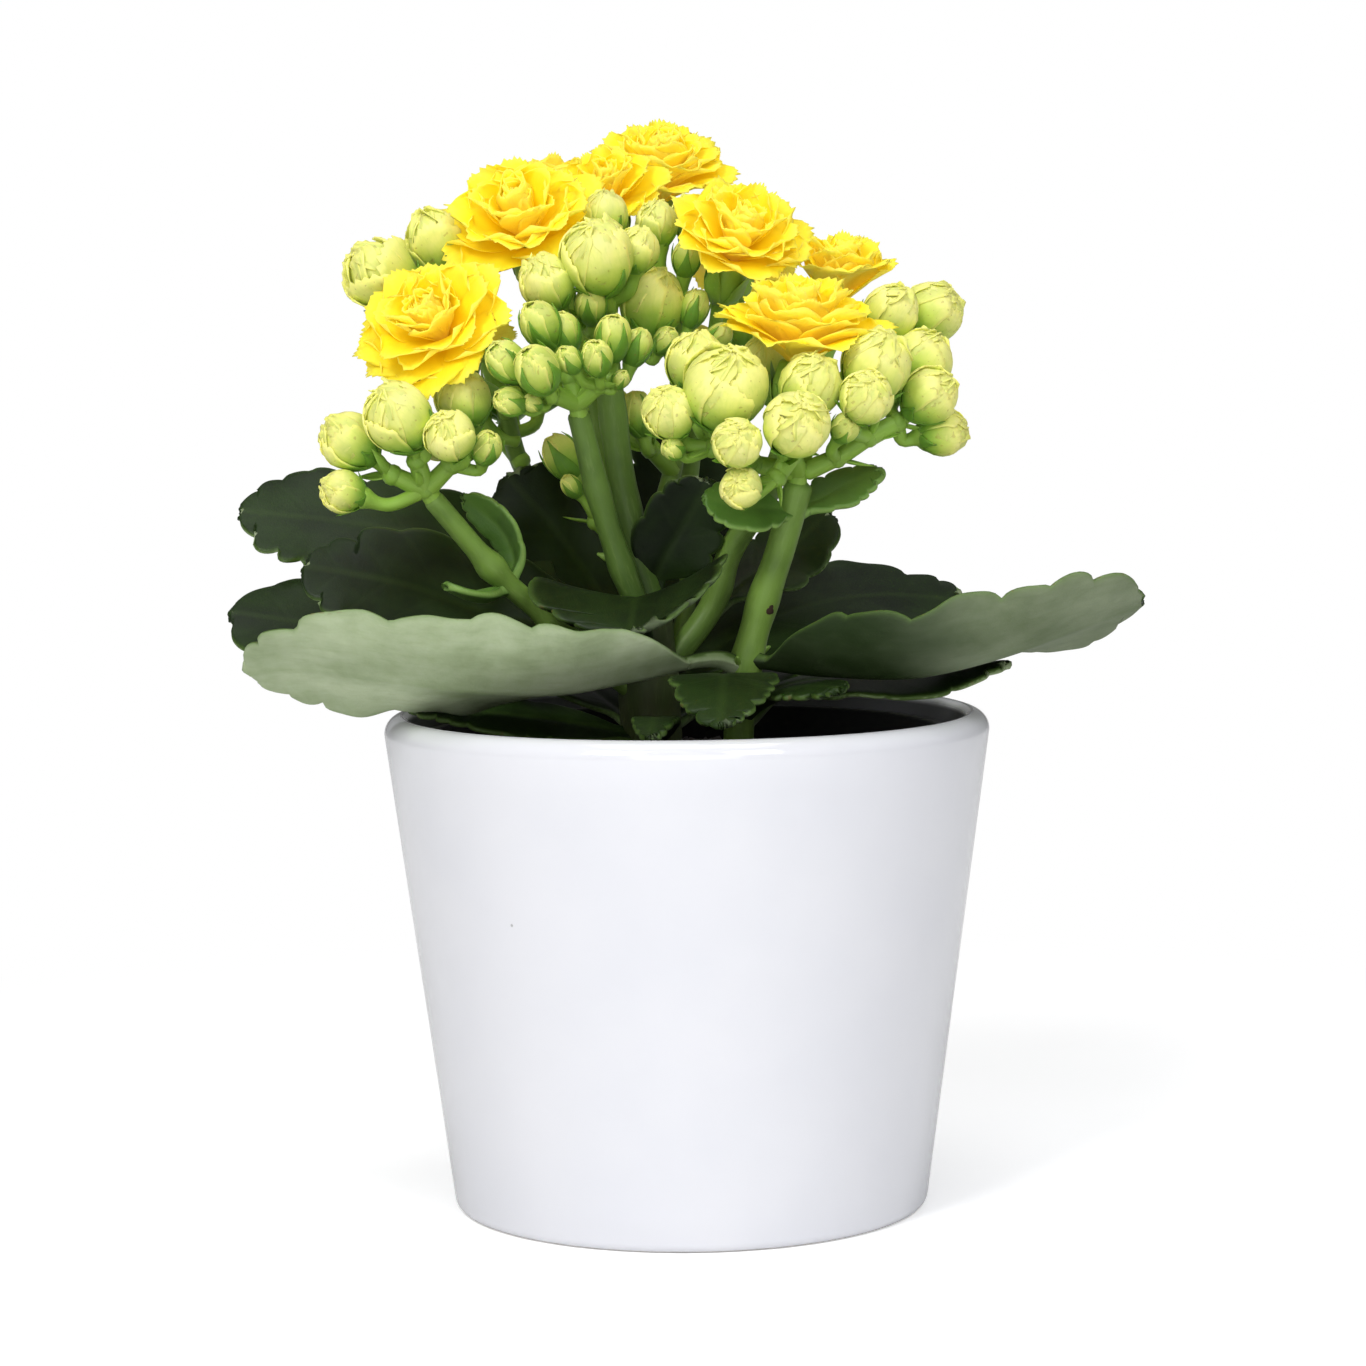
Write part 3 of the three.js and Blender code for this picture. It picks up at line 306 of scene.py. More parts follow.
# Each bud cyme by its forks (place, then the number of the fork before it, as the first is on the stem) and
# its buds (centre, radius, and the number of the fork that each grows from).
CYMES = {
    "buds_left_front": {
        "forks": [[-31.2, -11.5, 92.8], [-33, -12.4, 95.2, 0], [-37.2, -13.4, 97.2, 1], [-34, -14, 99, 1],
                  [-29.8, -13.2, 98.4, 1]],
        "buds": [[-42.5, -14, 101.5, 3.2, 2], [-43.3, -16, 95.2, 2.4, 1], [-36, -18, 104.5, 3.7, 3],
                 [-28.1, -12, 106.6, 3.1, 4], [-29.4, -20, 102.2, 2.8, 4], [-25, -16, 100.6, 1.9, 4]],
    },
    "buds_left_back": {
        "forks": [[-24.5, 15, 106.6], [-26.4, 10.6, 112.4, 0], [-30, 6, 117, 1]],
        "buds": [[-32, 3.6, 126.4, 3.3, 2], [-38.8, -0.4, 122.2, 3.7, 2]],
    },
    "buds_centre_front": {
        "forks": [[-13.2, -8.8, 103.2], [-13.6, -9.8, 106, 0], [-17, -13, 107.4, 1], [-10.8, -12, 108.4, 1],
                  [-14.6, -11.2, 109.6, 1]],
        "buds": [[-18, -14, 116, 2.5, 4], [-15.1, -12, 115, 2.1, 4], [-22.2, -17.6, 111.4, 2.4, 2],
                 [-18.3, -20, 110.4, 2.8, 2], [-14.4, -18, 111.6, 1.6, 3], [-10.9, -17, 111.8, 2, 3],
                 [-8.9, -13, 114.3, 2.3, 3], [-5.9, -10, 113.1, 1.9, 3], [-21.9, -18, 106.4, 1.8, 2],
                 [-19.1, -17, 106.2, 1.2, 2], [-8, -14, 109, 1.1, 3]],
    },
    "buds_top_left": {
        "forks": [[-9.9, 2, 109.6], [-10.2, 1.4, 113.4, 0], [-12.6, -2, 116.4, 1], [-9.4, -0.6, 119, 1]],
        "buds": [[-10.9, -8, 124.5, 4, 3], [-17.4, -8, 121.4, 3, 2], [-11.8, -6, 118.6, 2.1, 2],
                 [-10, 0.4, 130, 2.6, 3], [-5.8, -4, 125.5, 2.5, 3]],
    },
    "buds_top_middle": {
        "forks": [[-10.2, 1.4, 113.2], [-5.8, 1.6, 113, 0], [-1.2, 1.4, 113, 1]],
        "buds": [[-4, 2, 118.6, 3.7, 1], [1.5, 1, 118, 1.9, 2], [-2.3, -2.4, 113.8, 1.6, 1],
                 [4.6, 0, 114.2, 1.6, 2]],
    },
    "buds_top_right": {
        "forks": [[-0.5, 13.2, 104.6], [-0.7, 12, 110, 0], [-1, 9.4, 117.4, 1]],
        "buds": [[-3.3, 3.4, 129, 2.4, 2], [0.6, 3, 124.6, 1.9, 2], [1.3, 7, 130, 2.4, 2]],
    },
    "buds_right_middle": {
        "forks": [[14.4, -12.2, 94], [14.5, -12.9, 97.2, 0], [13.6, -18, 99.4, 1], [11.6, -19, 96.6, 2]],
        "buds": [[13.9, -27, 103.4, 3.6, 2], [15.8, -21, 108, 3.4, 2], [7, -26, 95.6, 2.3, 3]],
    },
    "buds_right_front": {
        "forks": [[13.4, -13, 97.2], [8.8, -15.2, 98.2, 0], [3.6, -18, 100.4, 1]],
        "buds": [[1.7, -15.6, 110.8, 3.4, 2], [5.1, -22, 107.9, 4.6, 2], [-1.8, -22.4, 104.9, 2.9, 2],
                 [6.5, -28, 101.2, 2.7, 1], [-1.4, -22, 100.4, 1.4, 2]],
    },
    "buds_right_far": {
        "forks": [[15.7, -12.9, 97.2], [19.4, -13.4, 98.8, 0], [23.4, -14.4, 101.4, 1],
                  [27.2, -13, 103.2, 2]],
        "buds": [[24.3, -18, 110.4, 3.8, 2], [22.7, -24, 106.6, 2.9, 2], [20.2, -21.6, 102.8, 1.8, 1],
                 [30.3, -9.6, 110.8, 3.5, 3], [31.2, -14.4, 106.6, 3.1, 3], [33, -11.6, 101.8, 2.7, 3]],
    },
    "buds_right_back": {
        "forks": [[14.1, -2.8, 101.8], [15.6, -3.4, 105.4, 0], [23, -3.6, 109.8, 1]],
        "buds": [[26.6, -7.4, 117, 3.1, 2], [32, -3, 117, 3.5, 2], [10.2, -6, 111.2, 2.4, 1]],
    },
    "buds_back_low": {
        "forks": [[-6.2, 2, 85.1], [-11.6, 4, 90.2, 0]],
        "buds": [[-15.9, 5, 98.6, 2.5, 1], [-14.8, 1.6, 94.9, 1.3, 1]],
    },
    "buds_inner": {
        "forks": [[-1.6, 13.6, 96.4], [-4.4, 10.8, 99.4, 0]],
        "buds": [[-6, 7.4, 104.2, 2.3, 1], [-9, 12.6, 105, 2.1, 1]],
    },
    "buds_back_left": {
        "forks": [[-22, 20, 97.5], [-25, 23.4, 101, 0]],
        "buds": [[-30, 27, 103.4, 3, 1], [-24.6, 30, 106.4, 3.2, 1], [-19.6, 26.6, 107.6, 2.8, 1],
                 [-33.4, 22, 100.4, 2.3, 1]],
    },
    "buds_back_right": {
        "forks": [[1.9, 17.5, 104.6], [3.4, 19, 108, 0], [8.4, 21.4, 108.8, 1]],
        "buds": [[8, 27.4, 114.4, 3.4, 2], [14, 23, 113, 3.2, 2], [1.6, 27, 112.4, 3, 1],
                 [15.6, 27, 107.4, 2.6, 2], [9, 30, 107.8, 2.6, 2]],
    },
}

# Each flower by its centre, the way it faces, the radius of its CAD funnel and its stalk from the top down.
# opening: how far it has opened beyond the usual, in radians; petals: how many; fuller: its width over its
# funnel's.
FLOWER_USUAL = {"opening": 0.0, "petals": 46, "fuller": 1.0}
FLOWERS = {
    "flower_left_front": {
        "centre": (-32.2, -11.4, 117.2), "axis": (-0.3, -0.72, 0.6), "radius": 9.6, "petals": 52,
        "fuller": 0.98,
        "stalk": [[-24.4, 8, 106.6], [-24, 17, 104]],
    },
    "flower_left_top": {
        "centre": (-21, 0, 130.7), "axis": (-0.18, -0.64, 0.74), "radius": 9.4, "petals": 50,
        "fuller": 1.04,
        "stalk": [[-15.6, 9.4, 113], [-12.3, 9.5, 106.8]],
    },
    "flower_top_middle": {
        "centre": (-9.8, 8, 134.7), "axis": (-0.15, -0.6, 0.78), "radius": 6.4, "petals": 42,
        "fuller": 1.05,
        "stalk": [[-5.4, 13.4, 119], [-0.8, 11.4, 112]],
    },
    "flower_top_back": {
        "centre": (-2.5, 22, 137.6), "axis": (0.1, -0.42, 0.9), "radius": 8.8, "opening": -0.1,
        "petals": 50, "fuller": 1.08,
        "stalk": [[-3, 18.6, 116], [-0.7, 12.2, 109.2]],
    },
    "flower_right_top": {
        "centre": (7.8, -2, 128.1), "axis": (0.25, -0.6, 0.76), "radius": 8.8, "opening": -0.05,
        "petals": 50,
        "stalk": [[3.6, 8.6, 113], [-0.6, 12.6, 107.4]],
    },
    "flower_right_far": {
        "centre": (20.9, 12, 122.2), "axis": (0.12, -0.3, 0.95), "radius": 7, "opening": -0.5,
        "petals": 42, "fuller": 1.2,
        "stalk": [[17.6, 7, 106.6], [13.8, -2.5, 101.4]],
    },
    "flower_right_front": {
        "centre": (15, -14, 116.7), "axis": (0.08, -0.25, 0.96), "radius": 9.8, "opening": -0.05,
        "petals": 50,
        "stalk": [[14.4, -11, 101.6], [14.5, -12, 98.4]],
    },
    "flower_back_top": {
        "centre": (-18.5, 19, 134), "axis": (-0.2, 0.3, 0.93), "radius": 8,
        "stalk": [[-13.2, 13.4, 113], [-12, 9.4, 104.8]],
    },
    "flower_back_left": {
        "centre": (-32, 22, 113.5), "axis": (-0.35, 0.55, 0.75), "radius": 8,
        "stalk": [[-25.4, 17.6, 101.4], [-22.7, 18.5, 100.4]],
    },
    "flower_back_right": {
        "centre": (8, 25, 126.5), "axis": (0.15, 0.7, 0.7), "radius": 8,
        "stalk": [[5.4, 16, 112.6], [3.4, 18.8, 108.2]],
    },
}

# ---------------------------------------------------------------- small maths


class Line:
    """A smooth line through points in millimetres, read by the share of its length."""

    STEPS_PER_SPAN = 24

    def __init__(self, points):
        p = np.array(points, float)
        p = np.vstack([2 * p[0] - p[1], p, 2 * p[-1] - p[-2]])
        rows = []
        for a, b, c, d in zip(p, p[1:], p[2:], p[3:]):
            gaps = [max(np.linalg.norm(y - x), 1e-6) ** 0.5 for x, y in ((a, b), (b, c), (c, d))]
            start = (b - a) / gaps[0] - (c - a) / (gaps[0] + gaps[1]) + (c - b) / gaps[1]
            end = (c - b) / gaps[1] - (d - b) / (gaps[1] + gaps[2]) + (d - c) / gaps[2]
            t = np.linspace(0, 1, self.STEPS_PER_SPAN, endpoint=False)[:, None]
            rows.append((2 * t**3 - 3 * t**2 + 1) * b + (t**3 - 2 * t**2 + t) * start * gaps[1]
                        + (3 * t**2 - 2 * t**3) * c + (t**3 - t**2) * end * gaps[1])
        self.points = np.vstack(rows + [p[-2:-1]])
        steps = np.linalg.norm(np.diff(self.points, axis=0), axis=1)
        self.shares = np.concatenate([[0], np.cumsum(steps)])
        self.length = self.shares[-1]
        self.shares /= self.length

    def at(self, share):
        """Points at these shares; past the tip the line runs on straight."""
        share = np.asarray(share, float)
        inside = np.clip(share, 0, 1)
        place = np.stack([np.interp(inside, self.shares, self.points[:, k]) for k in range(3)], -1)
        return place + (share - inside)[..., None] * self.length * self.along(inside)

    def along(self, share):
        """Unit directions at these shares."""
        inside = np.clip(np.asarray(share, float), 0.01, 0.99)
        ahead, behind = inside + 0.01, inside - 0.01
        way = np.stack([np.interp(ahead, self.shares, self.points[:, k])
                        - np.interp(behind, self.shares, self.points[:, k]) for k in range(3)], -1)
        return unit(way)


def unit(v):
    """v at length 1, or an array of such."""
    return v / np.maximum(np.linalg.norm(v, axis=-1, keepdims=True), 1e-9)


def mix(a, b, t):
    """a at 0, b at 1, even between."""
    return a + (b - a) * t


def turned(v, axis, angle):
    """v turned about axis by angle, all arrays that broadcast."""
    c, s = np.cos(angle)[..., None], np.sin(angle)[..., None]
    return v * c + np.cross(axis, v) * s + axis * np.sum(axis * v, -1, keepdims=True) * (1 - c)


# ---------------------------------------------------------------- mesh making

# What each vertex carries for the materials, beside its flow, its place along and across the piece:
#   edge    nearness to a free edge
#   under   1 on a lower side or a scar
#   tone    a chance number of the piece
#   ripe    how ripe a bud or petal is, how old a stem is, or how little painted shade darkens a
#           leaf's lower side
MARKS = ("edge", "under", "tone", "ripe")


def bands(rows, sides):
    """The quads between rings of vertices, counted ring after ring."""
    around = [(j, (j + 1) % sides) for j in range(sides)]
    return [(i * sides + j, i * sides + k, (i + 1) * sides + k, (i + 1) * sides + j)
            for i in range(rows - 1) for j, k in around]


def fans(rows, sides):
    """The triangles from the first and the last ring to two end vertices, counted after the rings."""
    low, high, last = rows * sides, rows * sides + 1, (rows - 1) * sides
    return ([(low, (j + 1) % sides, j) for j in range(sides)]
            + [(high, last + j, last + (j + 1) % sides) for j in range(sides)])


class Form:
    """The vertices, faces and marks of one piece, in millimetres, before it becomes a mesh."""

    def __init__(self):
        self.places, self.flows, self.faces = [], [], []
        self.marks = {name: [] for name in MARKS}
        self.count = 0

    def add(self, places, flow, faces, **marks):
        """Adds vertices with their flow and marks, and faces counted from the first of them."""
        size = len(places)
        self.places.append(places)
        self.flows.append(np.broadcast_to(flow, (size, 3)))
        for name in MARKS:
            self.marks[name].append(np.broadcast_to(marks.get(name, 0.0), (size,)))
        self.faces += [tuple(int(k) + self.count for k in face) for face in faces]
        self.count += size

    def shell(self, middle, upper, lower, flow, **marks):
        """A closed thin body: a sheet of rows and columns, thickened to its upper and its lower side."""
        rows, columns = middle.shape[:2]
        facing = unit(np.cross(np.gradient(middle, axis=0), np.gradient(middle, axis=1)))
        top = middle + facing * upper[..., None]
        bottom = middle - facing * lower[..., None]
        places = np.vstack([top.reshape(-1, 3), bottom.reshape(-1, 3)])
        one = rows * columns
        faces = []
        for i in range(rows - 1):
            for j in range(columns - 1):
                a, b = i * columns + j, (i + 1) * columns + j
                faces.append((a, b, b + 1, a + 1))
                faces.append((one + a, one + a + 1, one + b + 1, one + b))
        ring = [(0, j) for j in range(columns)] + [(i, columns - 1) for i in range(1, rows)]
        ring += [(rows - 1, j) for j in range(columns - 2, -1, -1)]
        ring += [(i, 0) for i in range(rows - 2, 0, -1)]
        ids = [i * columns + j for i, j in ring]
        for a, b in zip(ids, ids[1:] + ids[:1]):
            faces.append((a, b, one + b, one + a))
        both = {name: np.tile(np.broadcast_to(value, (rows, columns)).ravel(), 2)
                for name, value in marks.items()}
        both["under"] = np.repeat([0.0, 1.0], one)
        self.add(places, np.tile(flow.reshape(-1, 3), (2, 1)), faces, **both)

    def tube(self, line, radii, sides, ridge=0.0, **marks):
        """A closed round body along a line, with rounded ends; radii are at even shares of its length."""
        shares = np.linspace(0, 1, len(radii))
        along = line.along(shares)
        side = np.cross(along[0], (0.31, 0.95, 0.1))
        carried = []
        for way in along:
            side = unit(side - way * np.dot(side, way))
            carried.append(side)
        side = np.array(carried)
        other = np.cross(along, side)
        centre = line.at(shares)
        radii = np.array(radii, float)
        bend = np.radians((80, 55, 25))
        centre = np.vstack([centre[0] - np.outer(np.sin(bend), along[0]) * radii[0] * 0.6, centre,
                            centre[-1] + np.outer(np.sin(bend[::-1]), along[-1]) * radii[-1] * 0.6])
        radii = np.concatenate([np.cos(bend) * radii[0], radii, np.cos(bend[::-1]) * radii[-1]])
        rounded = len(bend)

        def with_ends(values):
            return np.concatenate([values[:1].repeat(rounded, 0), values, values[-1:].repeat(rounded, 0)])

        side, other, shares = with_ends(side), with_ends(other), with_ends(shares)
        turn = np.linspace(0, 2 * np.pi, sides, endpoint=False)
        swell = 1 + ridge * np.cos(4 * turn)
        ring = ((np.cos(turn) * swell)[None, :, None] * side[:, None]
                + (np.sin(turn) * swell)[None, :, None] * other[:, None])
        places = (centre[:, None] + ring * radii[:, None, None]).reshape(-1, 3)
        rows = len(radii)
        faces = bands(rows, sides)
        faces += [tuple(range(sides))[::-1], tuple((rows - 1) * sides + j for j in range(sides))]
        flow = np.stack([np.outer(radii, np.cos(turn)), np.outer(radii, np.sin(turn)),
                         np.outer(shares * line.length, np.ones(sides))], -1).reshape(-1, 3)
        spread = {name: with_ends(np.broadcast_to(value, (rows - 2 * rounded,))).repeat(sides)
                  for name, value in marks.items()}
        self.add(places, flow, faces, **spread)

    def lathe(self, profile, sides, wobble=None, **marks):
        """A turned body: (radius, height) points from the axis at one end to the axis at the other."""
        profile = np.array(profile, float)
        turn = np.linspace(0, 2 * np.pi, sides, endpoint=False)
        ring = profile[1:-1]
        radius = np.repeat(ring[:, :1], sides, 1)
        height = np.repeat(ring[:, 1:], sides, 1)
        if wobble:
            radius, height = wobble(radius, height, np.broadcast_to(turn, radius.shape))
        places = np.stack([radius * np.cos(turn), radius * np.sin(turn), height], -1).reshape(-1, 3)
        places = np.vstack([places, [0, 0, profile[0, 1]], [0, 0, profile[-1, 1]]])
        self.add(places, places, bands(len(ring), sides) + fans(len(ring), sides), **marks)

    def ball(self, centre, radii, axis=(0, 0, 1), sides=12, **marks):
        """A closed egg about centre; radii are across and along axis."""
        rise = np.radians(np.linspace(-90, 90, sides // 2 + 1))[1:-1]
        turn = np.linspace(0, 2 * np.pi, sides, endpoint=False)
        rows = [np.stack([radii[0] * np.cos(a) * np.cos(turn), radii[0] * np.cos(a) * np.sin(turn),
                          np.full(sides, radii[1] * np.sin(a))], -1) for a in rise]
        places = np.vstack(rows + [[[0, 0, -radii[1]], [0, 0, radii[1]]]])
        faces = bands(len(rise), sides) + fans(len(rise), sides)
        turn_to = np.array(Vector((0, 0, 1)).rotation_difference(Vector(axis)).to_matrix())
        self.add(places @ turn_to.T + np.array(centre), places, faces, **marks)

    def moved(self, matrix):
        """This form, moved by a 4x4 matrix."""
        m = np.array(matrix)
        self.places = [p @ m[:3, :3].T + m[:3, 3] for p in self.places]
        return self

    def take(self, other):
        """Adds another form's pieces to this one."""
        self.faces += [tuple(k + self.count for k in face) for face in other.faces]
        self.places += other.places
        self.flows += other.flows
        for name in MARKS:
            self.marks[name] += other.marks[name]
        self.count += other.count

    def made(self, name, surface=None, scale=MM):
        """The finished mesh object, welded, closed and with its faces turned outwards."""
        mesh = bpy.data.meshes.new(name)
        mesh.from_pydata((np.vstack(self.places) * scale).tolist(), [], self.faces)
        carry(mesh, "flow", "FLOAT_VECTOR", np.vstack(self.flows).ravel())
        for mark in MARKS:
            carry(mesh, mark, "FLOAT", np.concatenate(self.marks[mark]).astype(float))
        if surface:
            mesh.materials.append(surface)
        bm = bmesh.new()
        bm.from_mesh(mesh)
        bmesh.ops.remove_doubles(bm, verts=bm.verts, dist=WELD)
        bmesh.ops.dissolve_degenerate(bm, edges=bm.edges, dist=WELD)
        bmesh.ops.recalc_face_normals(bm, faces=bm.faces)
        for face in bm.faces:
            face.smooth = True
        bm.to_mesh(mesh)
        bm.free()
        return bpy.data.objects.new(name, mesh)


def carry(mesh, name, kind, values):
    """Gives the vertices of a mesh a named value each."""
    field = "vector" if kind == "FLOAT_VECTOR" else "value"
    mesh.attributes.new(name, kind, "POINT").data.foreach_set(field, values)


def on_scene(piece):
    """Puts an object into the scene, once."""
    if not piece.users_collection:
        bpy.context.scene.collection.objects.link(piece)


def shown(piece, node):
    """Puts a finished piece on show in place of its CAD node."""
    on_scene(piece)
    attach(piece, "root")
    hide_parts(node)


def joined(name, pieces):
    """One object out of several, in one mesh."""
    for piece in pieces:
        on_scene(piece)
    with bpy.context.temp_override(active_object=pieces[0], selected_editable_objects=pieces):
        bpy.ops.object.join()
    pieces[0].name = pieces[0].data.name = name
    return pieces[0]


# ---------------------------------------------------------------- node trees


class Wire:
    """An output socket in Python arithmetic: each operator adds one Math node."""

    def __init__(self, graph, node, socket):
        self.graph, self.made, self.socket = graph, node, socket

    def of(self, name):
        """Another output of the same node."""
        socket = next(s for s in self.made.outputs if s.enabled and s.name == name)
        return Wire(self.graph, self.made, socket)

    def maths(self, operation, *others):
        """The result of a Math node on this value and others."""
        return self.graph.node("ShaderNodeMath", {"operation": operation}, self, *others)

    def __add__(self, other):
        return self.maths("ADD", other)

    def __radd__(self, other):
        return self.maths("ADD", other)

    def __sub__(self, other):
        return self.maths("SUBTRACT", other)

    def __rsub__(self, other):
        return self.graph.node("ShaderNodeMath", {"operation": "SUBTRACT"}, other, self)

    def __mul__(self, other):
        return self.maths("MULTIPLY", other)

    def __rmul__(self, other):
        return self.maths("MULTIPLY", other)

    def __truediv__(self, other):
        return self.maths("DIVIDE", other)

    def __pow__(self, other):
        return self.maths("POWER", other)

    def __neg__(self):
        return self.maths("MULTIPLY", -1.0)

    def over(self, low, high):
        """0 below low, 1 above high, even between."""
        return self.graph.node("ShaderNodeMapRange", {}, self, low, high, 0.0, 1.0)

    def smooth(self, low, high):
        """0 below low, 1 above high, easing between."""
        easing = {"interpolation_type": "SMOOTHSTEP"}
        return self.graph.node("ShaderNodeMapRange", easing, self, low, high, 0.0, 1.0)


class Graph:
    """A node tree written as expressions."""

    def __init__(self, tree):
        self.tree = tree
        tree.nodes.clear()

    def node(self, kind, settings=None, *values, **named):
        """Adds a node: its settings first, then values or links for its sockets, in order or by name."""
        made = self.tree.nodes.new(kind)
        for key, value in (settings or {}).items():
            setattr(made, key, value)
        open_sockets = [s for s in made.inputs if s.enabled]
        pairs = list(zip(open_sockets, values))
        pairs += [(next(s for s in open_sockets if s.name == name.replace("_", " ")), value)
                  for name, value in named.items()]
        for socket, value in pairs:
            if isinstance(value, Wire):
                self.tree.links.new(value.socket, socket)
            elif value is not None:
                socket.default_value = value
        first = next((s for s in made.outputs if s.enabled), None)
        return Wire(self, made, first)

    def blend(self, share, a, b):
        """Colour a to colour b."""
        return self.node("ShaderNodeMix", {"data_type": "RGBA"}, share, a, b)

    def ramp(self, share, *stops):
        """A colour by share, even between its stops, each a place and a colour."""
        wire = self.node("ShaderNodeValToRGB", {}, share)
        elements = wire.made.color_ramp.elements
        while len(elements) < len(stops):
            elements.new(0.5)
        for element, (place, color) in zip(elements, stops):
            element.position, element.color = place, color
        return wire

    def mark(self, name):
        """A mark that the vertices carry."""
        return self.node("ShaderNodeAttribute", {"attribute_name": name}).of("Fac")

    def flow(self, *stretch):
        """The place along and across the piece, in millimetres, stretched three ways."""
        place = self.node("ShaderNodeAttribute", {"attribute_name": "flow"}).of("Vector")
        return self.stretched(place, *stretch) if stretch else place

    def stretched(self, place, *stretch):
        """A place with each of its three parts multiplied."""
        return self.node("ShaderNodeVectorMath", {"operation": "MULTIPLY"}, place, stretch)

    def split(self, place):
        """The X, Y and Z of a place."""
        parts = self.node("ShaderNodeSeparateXYZ", {}, place)
        return [parts.of(name) for name in "XYZ"]

    def place(self):
        """The place on the object, in millimetres."""
        here = self.node("ShaderNodeTexCoord", {}).of("Object")
        return self.node("ShaderNodeVectorMath", {"operation": "SCALE"}, here, Scale=1 / MM)

    def noise(self, where, scale, detail=3.0, rough=0.55):
        """Soft noise from 0 to 1, in lumps about 1 / scale wide."""
        return self.node("ShaderNodeTexNoise", {}, Vector=where, Scale=scale, Detail=detail,
                         Roughness=rough)

    def bump(self, height, strength, distance, under=None):
        """A bump of a height in units of distance, in millimetres."""
        return self.node("ShaderNodeBump", {}, Strength=strength, Distance=distance * MM, Height=height,
                         Normal=under)

    def chance(self, low, high, seed):
        """A chance number for each point or instance."""
        return self.node("FunctionNodeRandomValue", {"data_type": "FLOAT"}, Min=low, Max=high, Seed=seed)

    def toned(self, geometry, domain, tone):
        """Gives each point or instance its tone."""
        return self.node("GeometryNodeStoreNamedAttribute", {"data_type": "FLOAT", "domain": domain},
                         Geometry=geometry, Name="tone", Value=tone)

    def repeated(self, shapes, points, **how):
        kinds = self.node("GeometryNodeCollectionInfo", {}, Collection=shapes, Separate_Children=True,
                          Reset_Children=True)
        return self.node("GeometryNodeInstanceOnPoints", {}, Points=points, Instance=kinds,
                         Pick_Instance=True, **how)

    def finished(self, geometry, surface):
        """Ends a Geometry Nodes tree: real mesh, in one material."""
        whole = self.node("GeometryNodeRealizeInstances", {}, geometry)
        whole = self.node("GeometryNodeSetMaterial", {}, whole, Material=surface)
        self.node("NodeGroupOutput", {}, whole)
        return self.tree


def srgb(red, green, blue):
    """A colour given in 0 to 255 as it looks on a screen."""
    def straight(c):
        c /= 255
        return c / 12.92 if c <= 0.04045 else ((c + 0.055) / 1.055) ** 2.4

    return (straight(red), straight(green), straight(blue), 1.0)


def material(name, build):
    """A material whose surface is what build returns: the sockets of one Principled shader."""
    made = bpy.data.materials.new(name)
    made.use_nodes = True
    graph = Graph(made.node_tree)
    surface = graph.node("ShaderNodeBsdfPrincipled", {}, **build(graph))
    graph.node("ShaderNodeOutputMaterial", {}, Surface=surface)
    return made


# ---------------------------------------------------------------- materials


def glaze(g):
    """White glaze: soft clouding, faint orange peel, a few pinholes, painted shade inside, bare clay
    underfoot.
    """
    place = g.place()
    x, y, height = g.split(place)
    radius = (x * x + y * y) ** 0.5
    depth = POT_BASE_RADIUS + height * ((POT_RIM_RADIUS - POT_BASE_RADIUS) / POT_HEIGHT) - radius
    inside = depth.smooth(2.5, 3.4) * height.smooth(2.6, 3.6) * (1 - height.smooth(64.0, 65.1))
    cloud = g.noise(place, 0.06, 2.0)
    spots = g.node("ShaderNodeTexVoronoi", {}, Vector=place, Scale=0.16)
    pinhole = (0.036 - spots.of("Distance")).over(0.0, 0.012) * g.noise(place, 0.23, 0.0).over(0.56, 0.6)
    bare = 1 - (height + 0.2 * g.noise(place, 0.5)).smooth(0.22, 0.42)
    white = g.blend(cloud, srgb(217, 218, 224), srgb(227, 227, 231))
    white = g.blend(pinhole * 0.5, white, srgb(120, 116, 112))
    # Painted shade: the inner wall below the lip is darkened nearly to black, and made duller and without
    # coat.
    color = g.blend(inside * 0.9, white, srgb(52, 52, 56))
    color = g.blend(bare, color, srgb(204, 200, 194))
    peel = g.bump(g.noise(place, 0.9, 2.0), 0.1, 0.03)
    return {"Base_Color": color, "Roughness": mix(0.07, 0.72, bare) + 0.05 * cloud + 0.4 * inside,
            "IOR": 1.52, "Coat_Weight": 0.35 - 0.35 * inside, "Coat_Roughness": 0.04,
            "Normal": g.bump(g.noise(place, 6.0) * bare - 2.0 * pinhole, 0.6, 0.05, peel)}


def pot_plastic(g):
    """Thin black plastic, dull, scuffed and a little dusty."""
    place = g.place()
    scuff = g.noise(g.stretched(place, 0.3, 0.3, 4.0), 1.2, 4.0)
    dust = g.noise(place, 0.35, 5.0, 0.7).smooth(0.5, 0.78)
    color = g.blend(dust * 0.3, srgb(13, 13, 14), srgb(66, 60, 53))
    return {"Base_Color": color, "Roughness": 0.42 + 0.2 * scuff + 0.25 * dust, "Specular_IOR_Level": 0.22,
            "Normal": g.bump(scuff + 0.5 * g.noise(place, 5.0), 0.25, 0.05)}


def peat(g):
    """Dark peat: fibrous crumbs, darker and matter in the dips of its grain."""
    place = g.place()
    grain = g.noise(place, 1.1, 6.0, 0.7)
    fibre = g.noise(g.stretched(place, 0.4, 2.6, 1.2), 1.6, 4.0)
    tone = g.mark("tone")
    dark = g.blend(grain, srgb(12, 9, 7), srgb(46, 33, 24))
    color = g.blend(fibre.smooth(0.58, 0.74) * 0.5, dark, srgb(92, 66, 44))
    color = g.blend(tone.smooth(0.86, 1.0) * 0.7, color, srgb(112, 82, 56))
    return {"Base_Color": color, "Roughness": 0.95 - 0.3 * grain.over(0.2, 0.45),
            "Normal": g.bump(grain + 0.6 * fibre, 0.9, 0.5)}


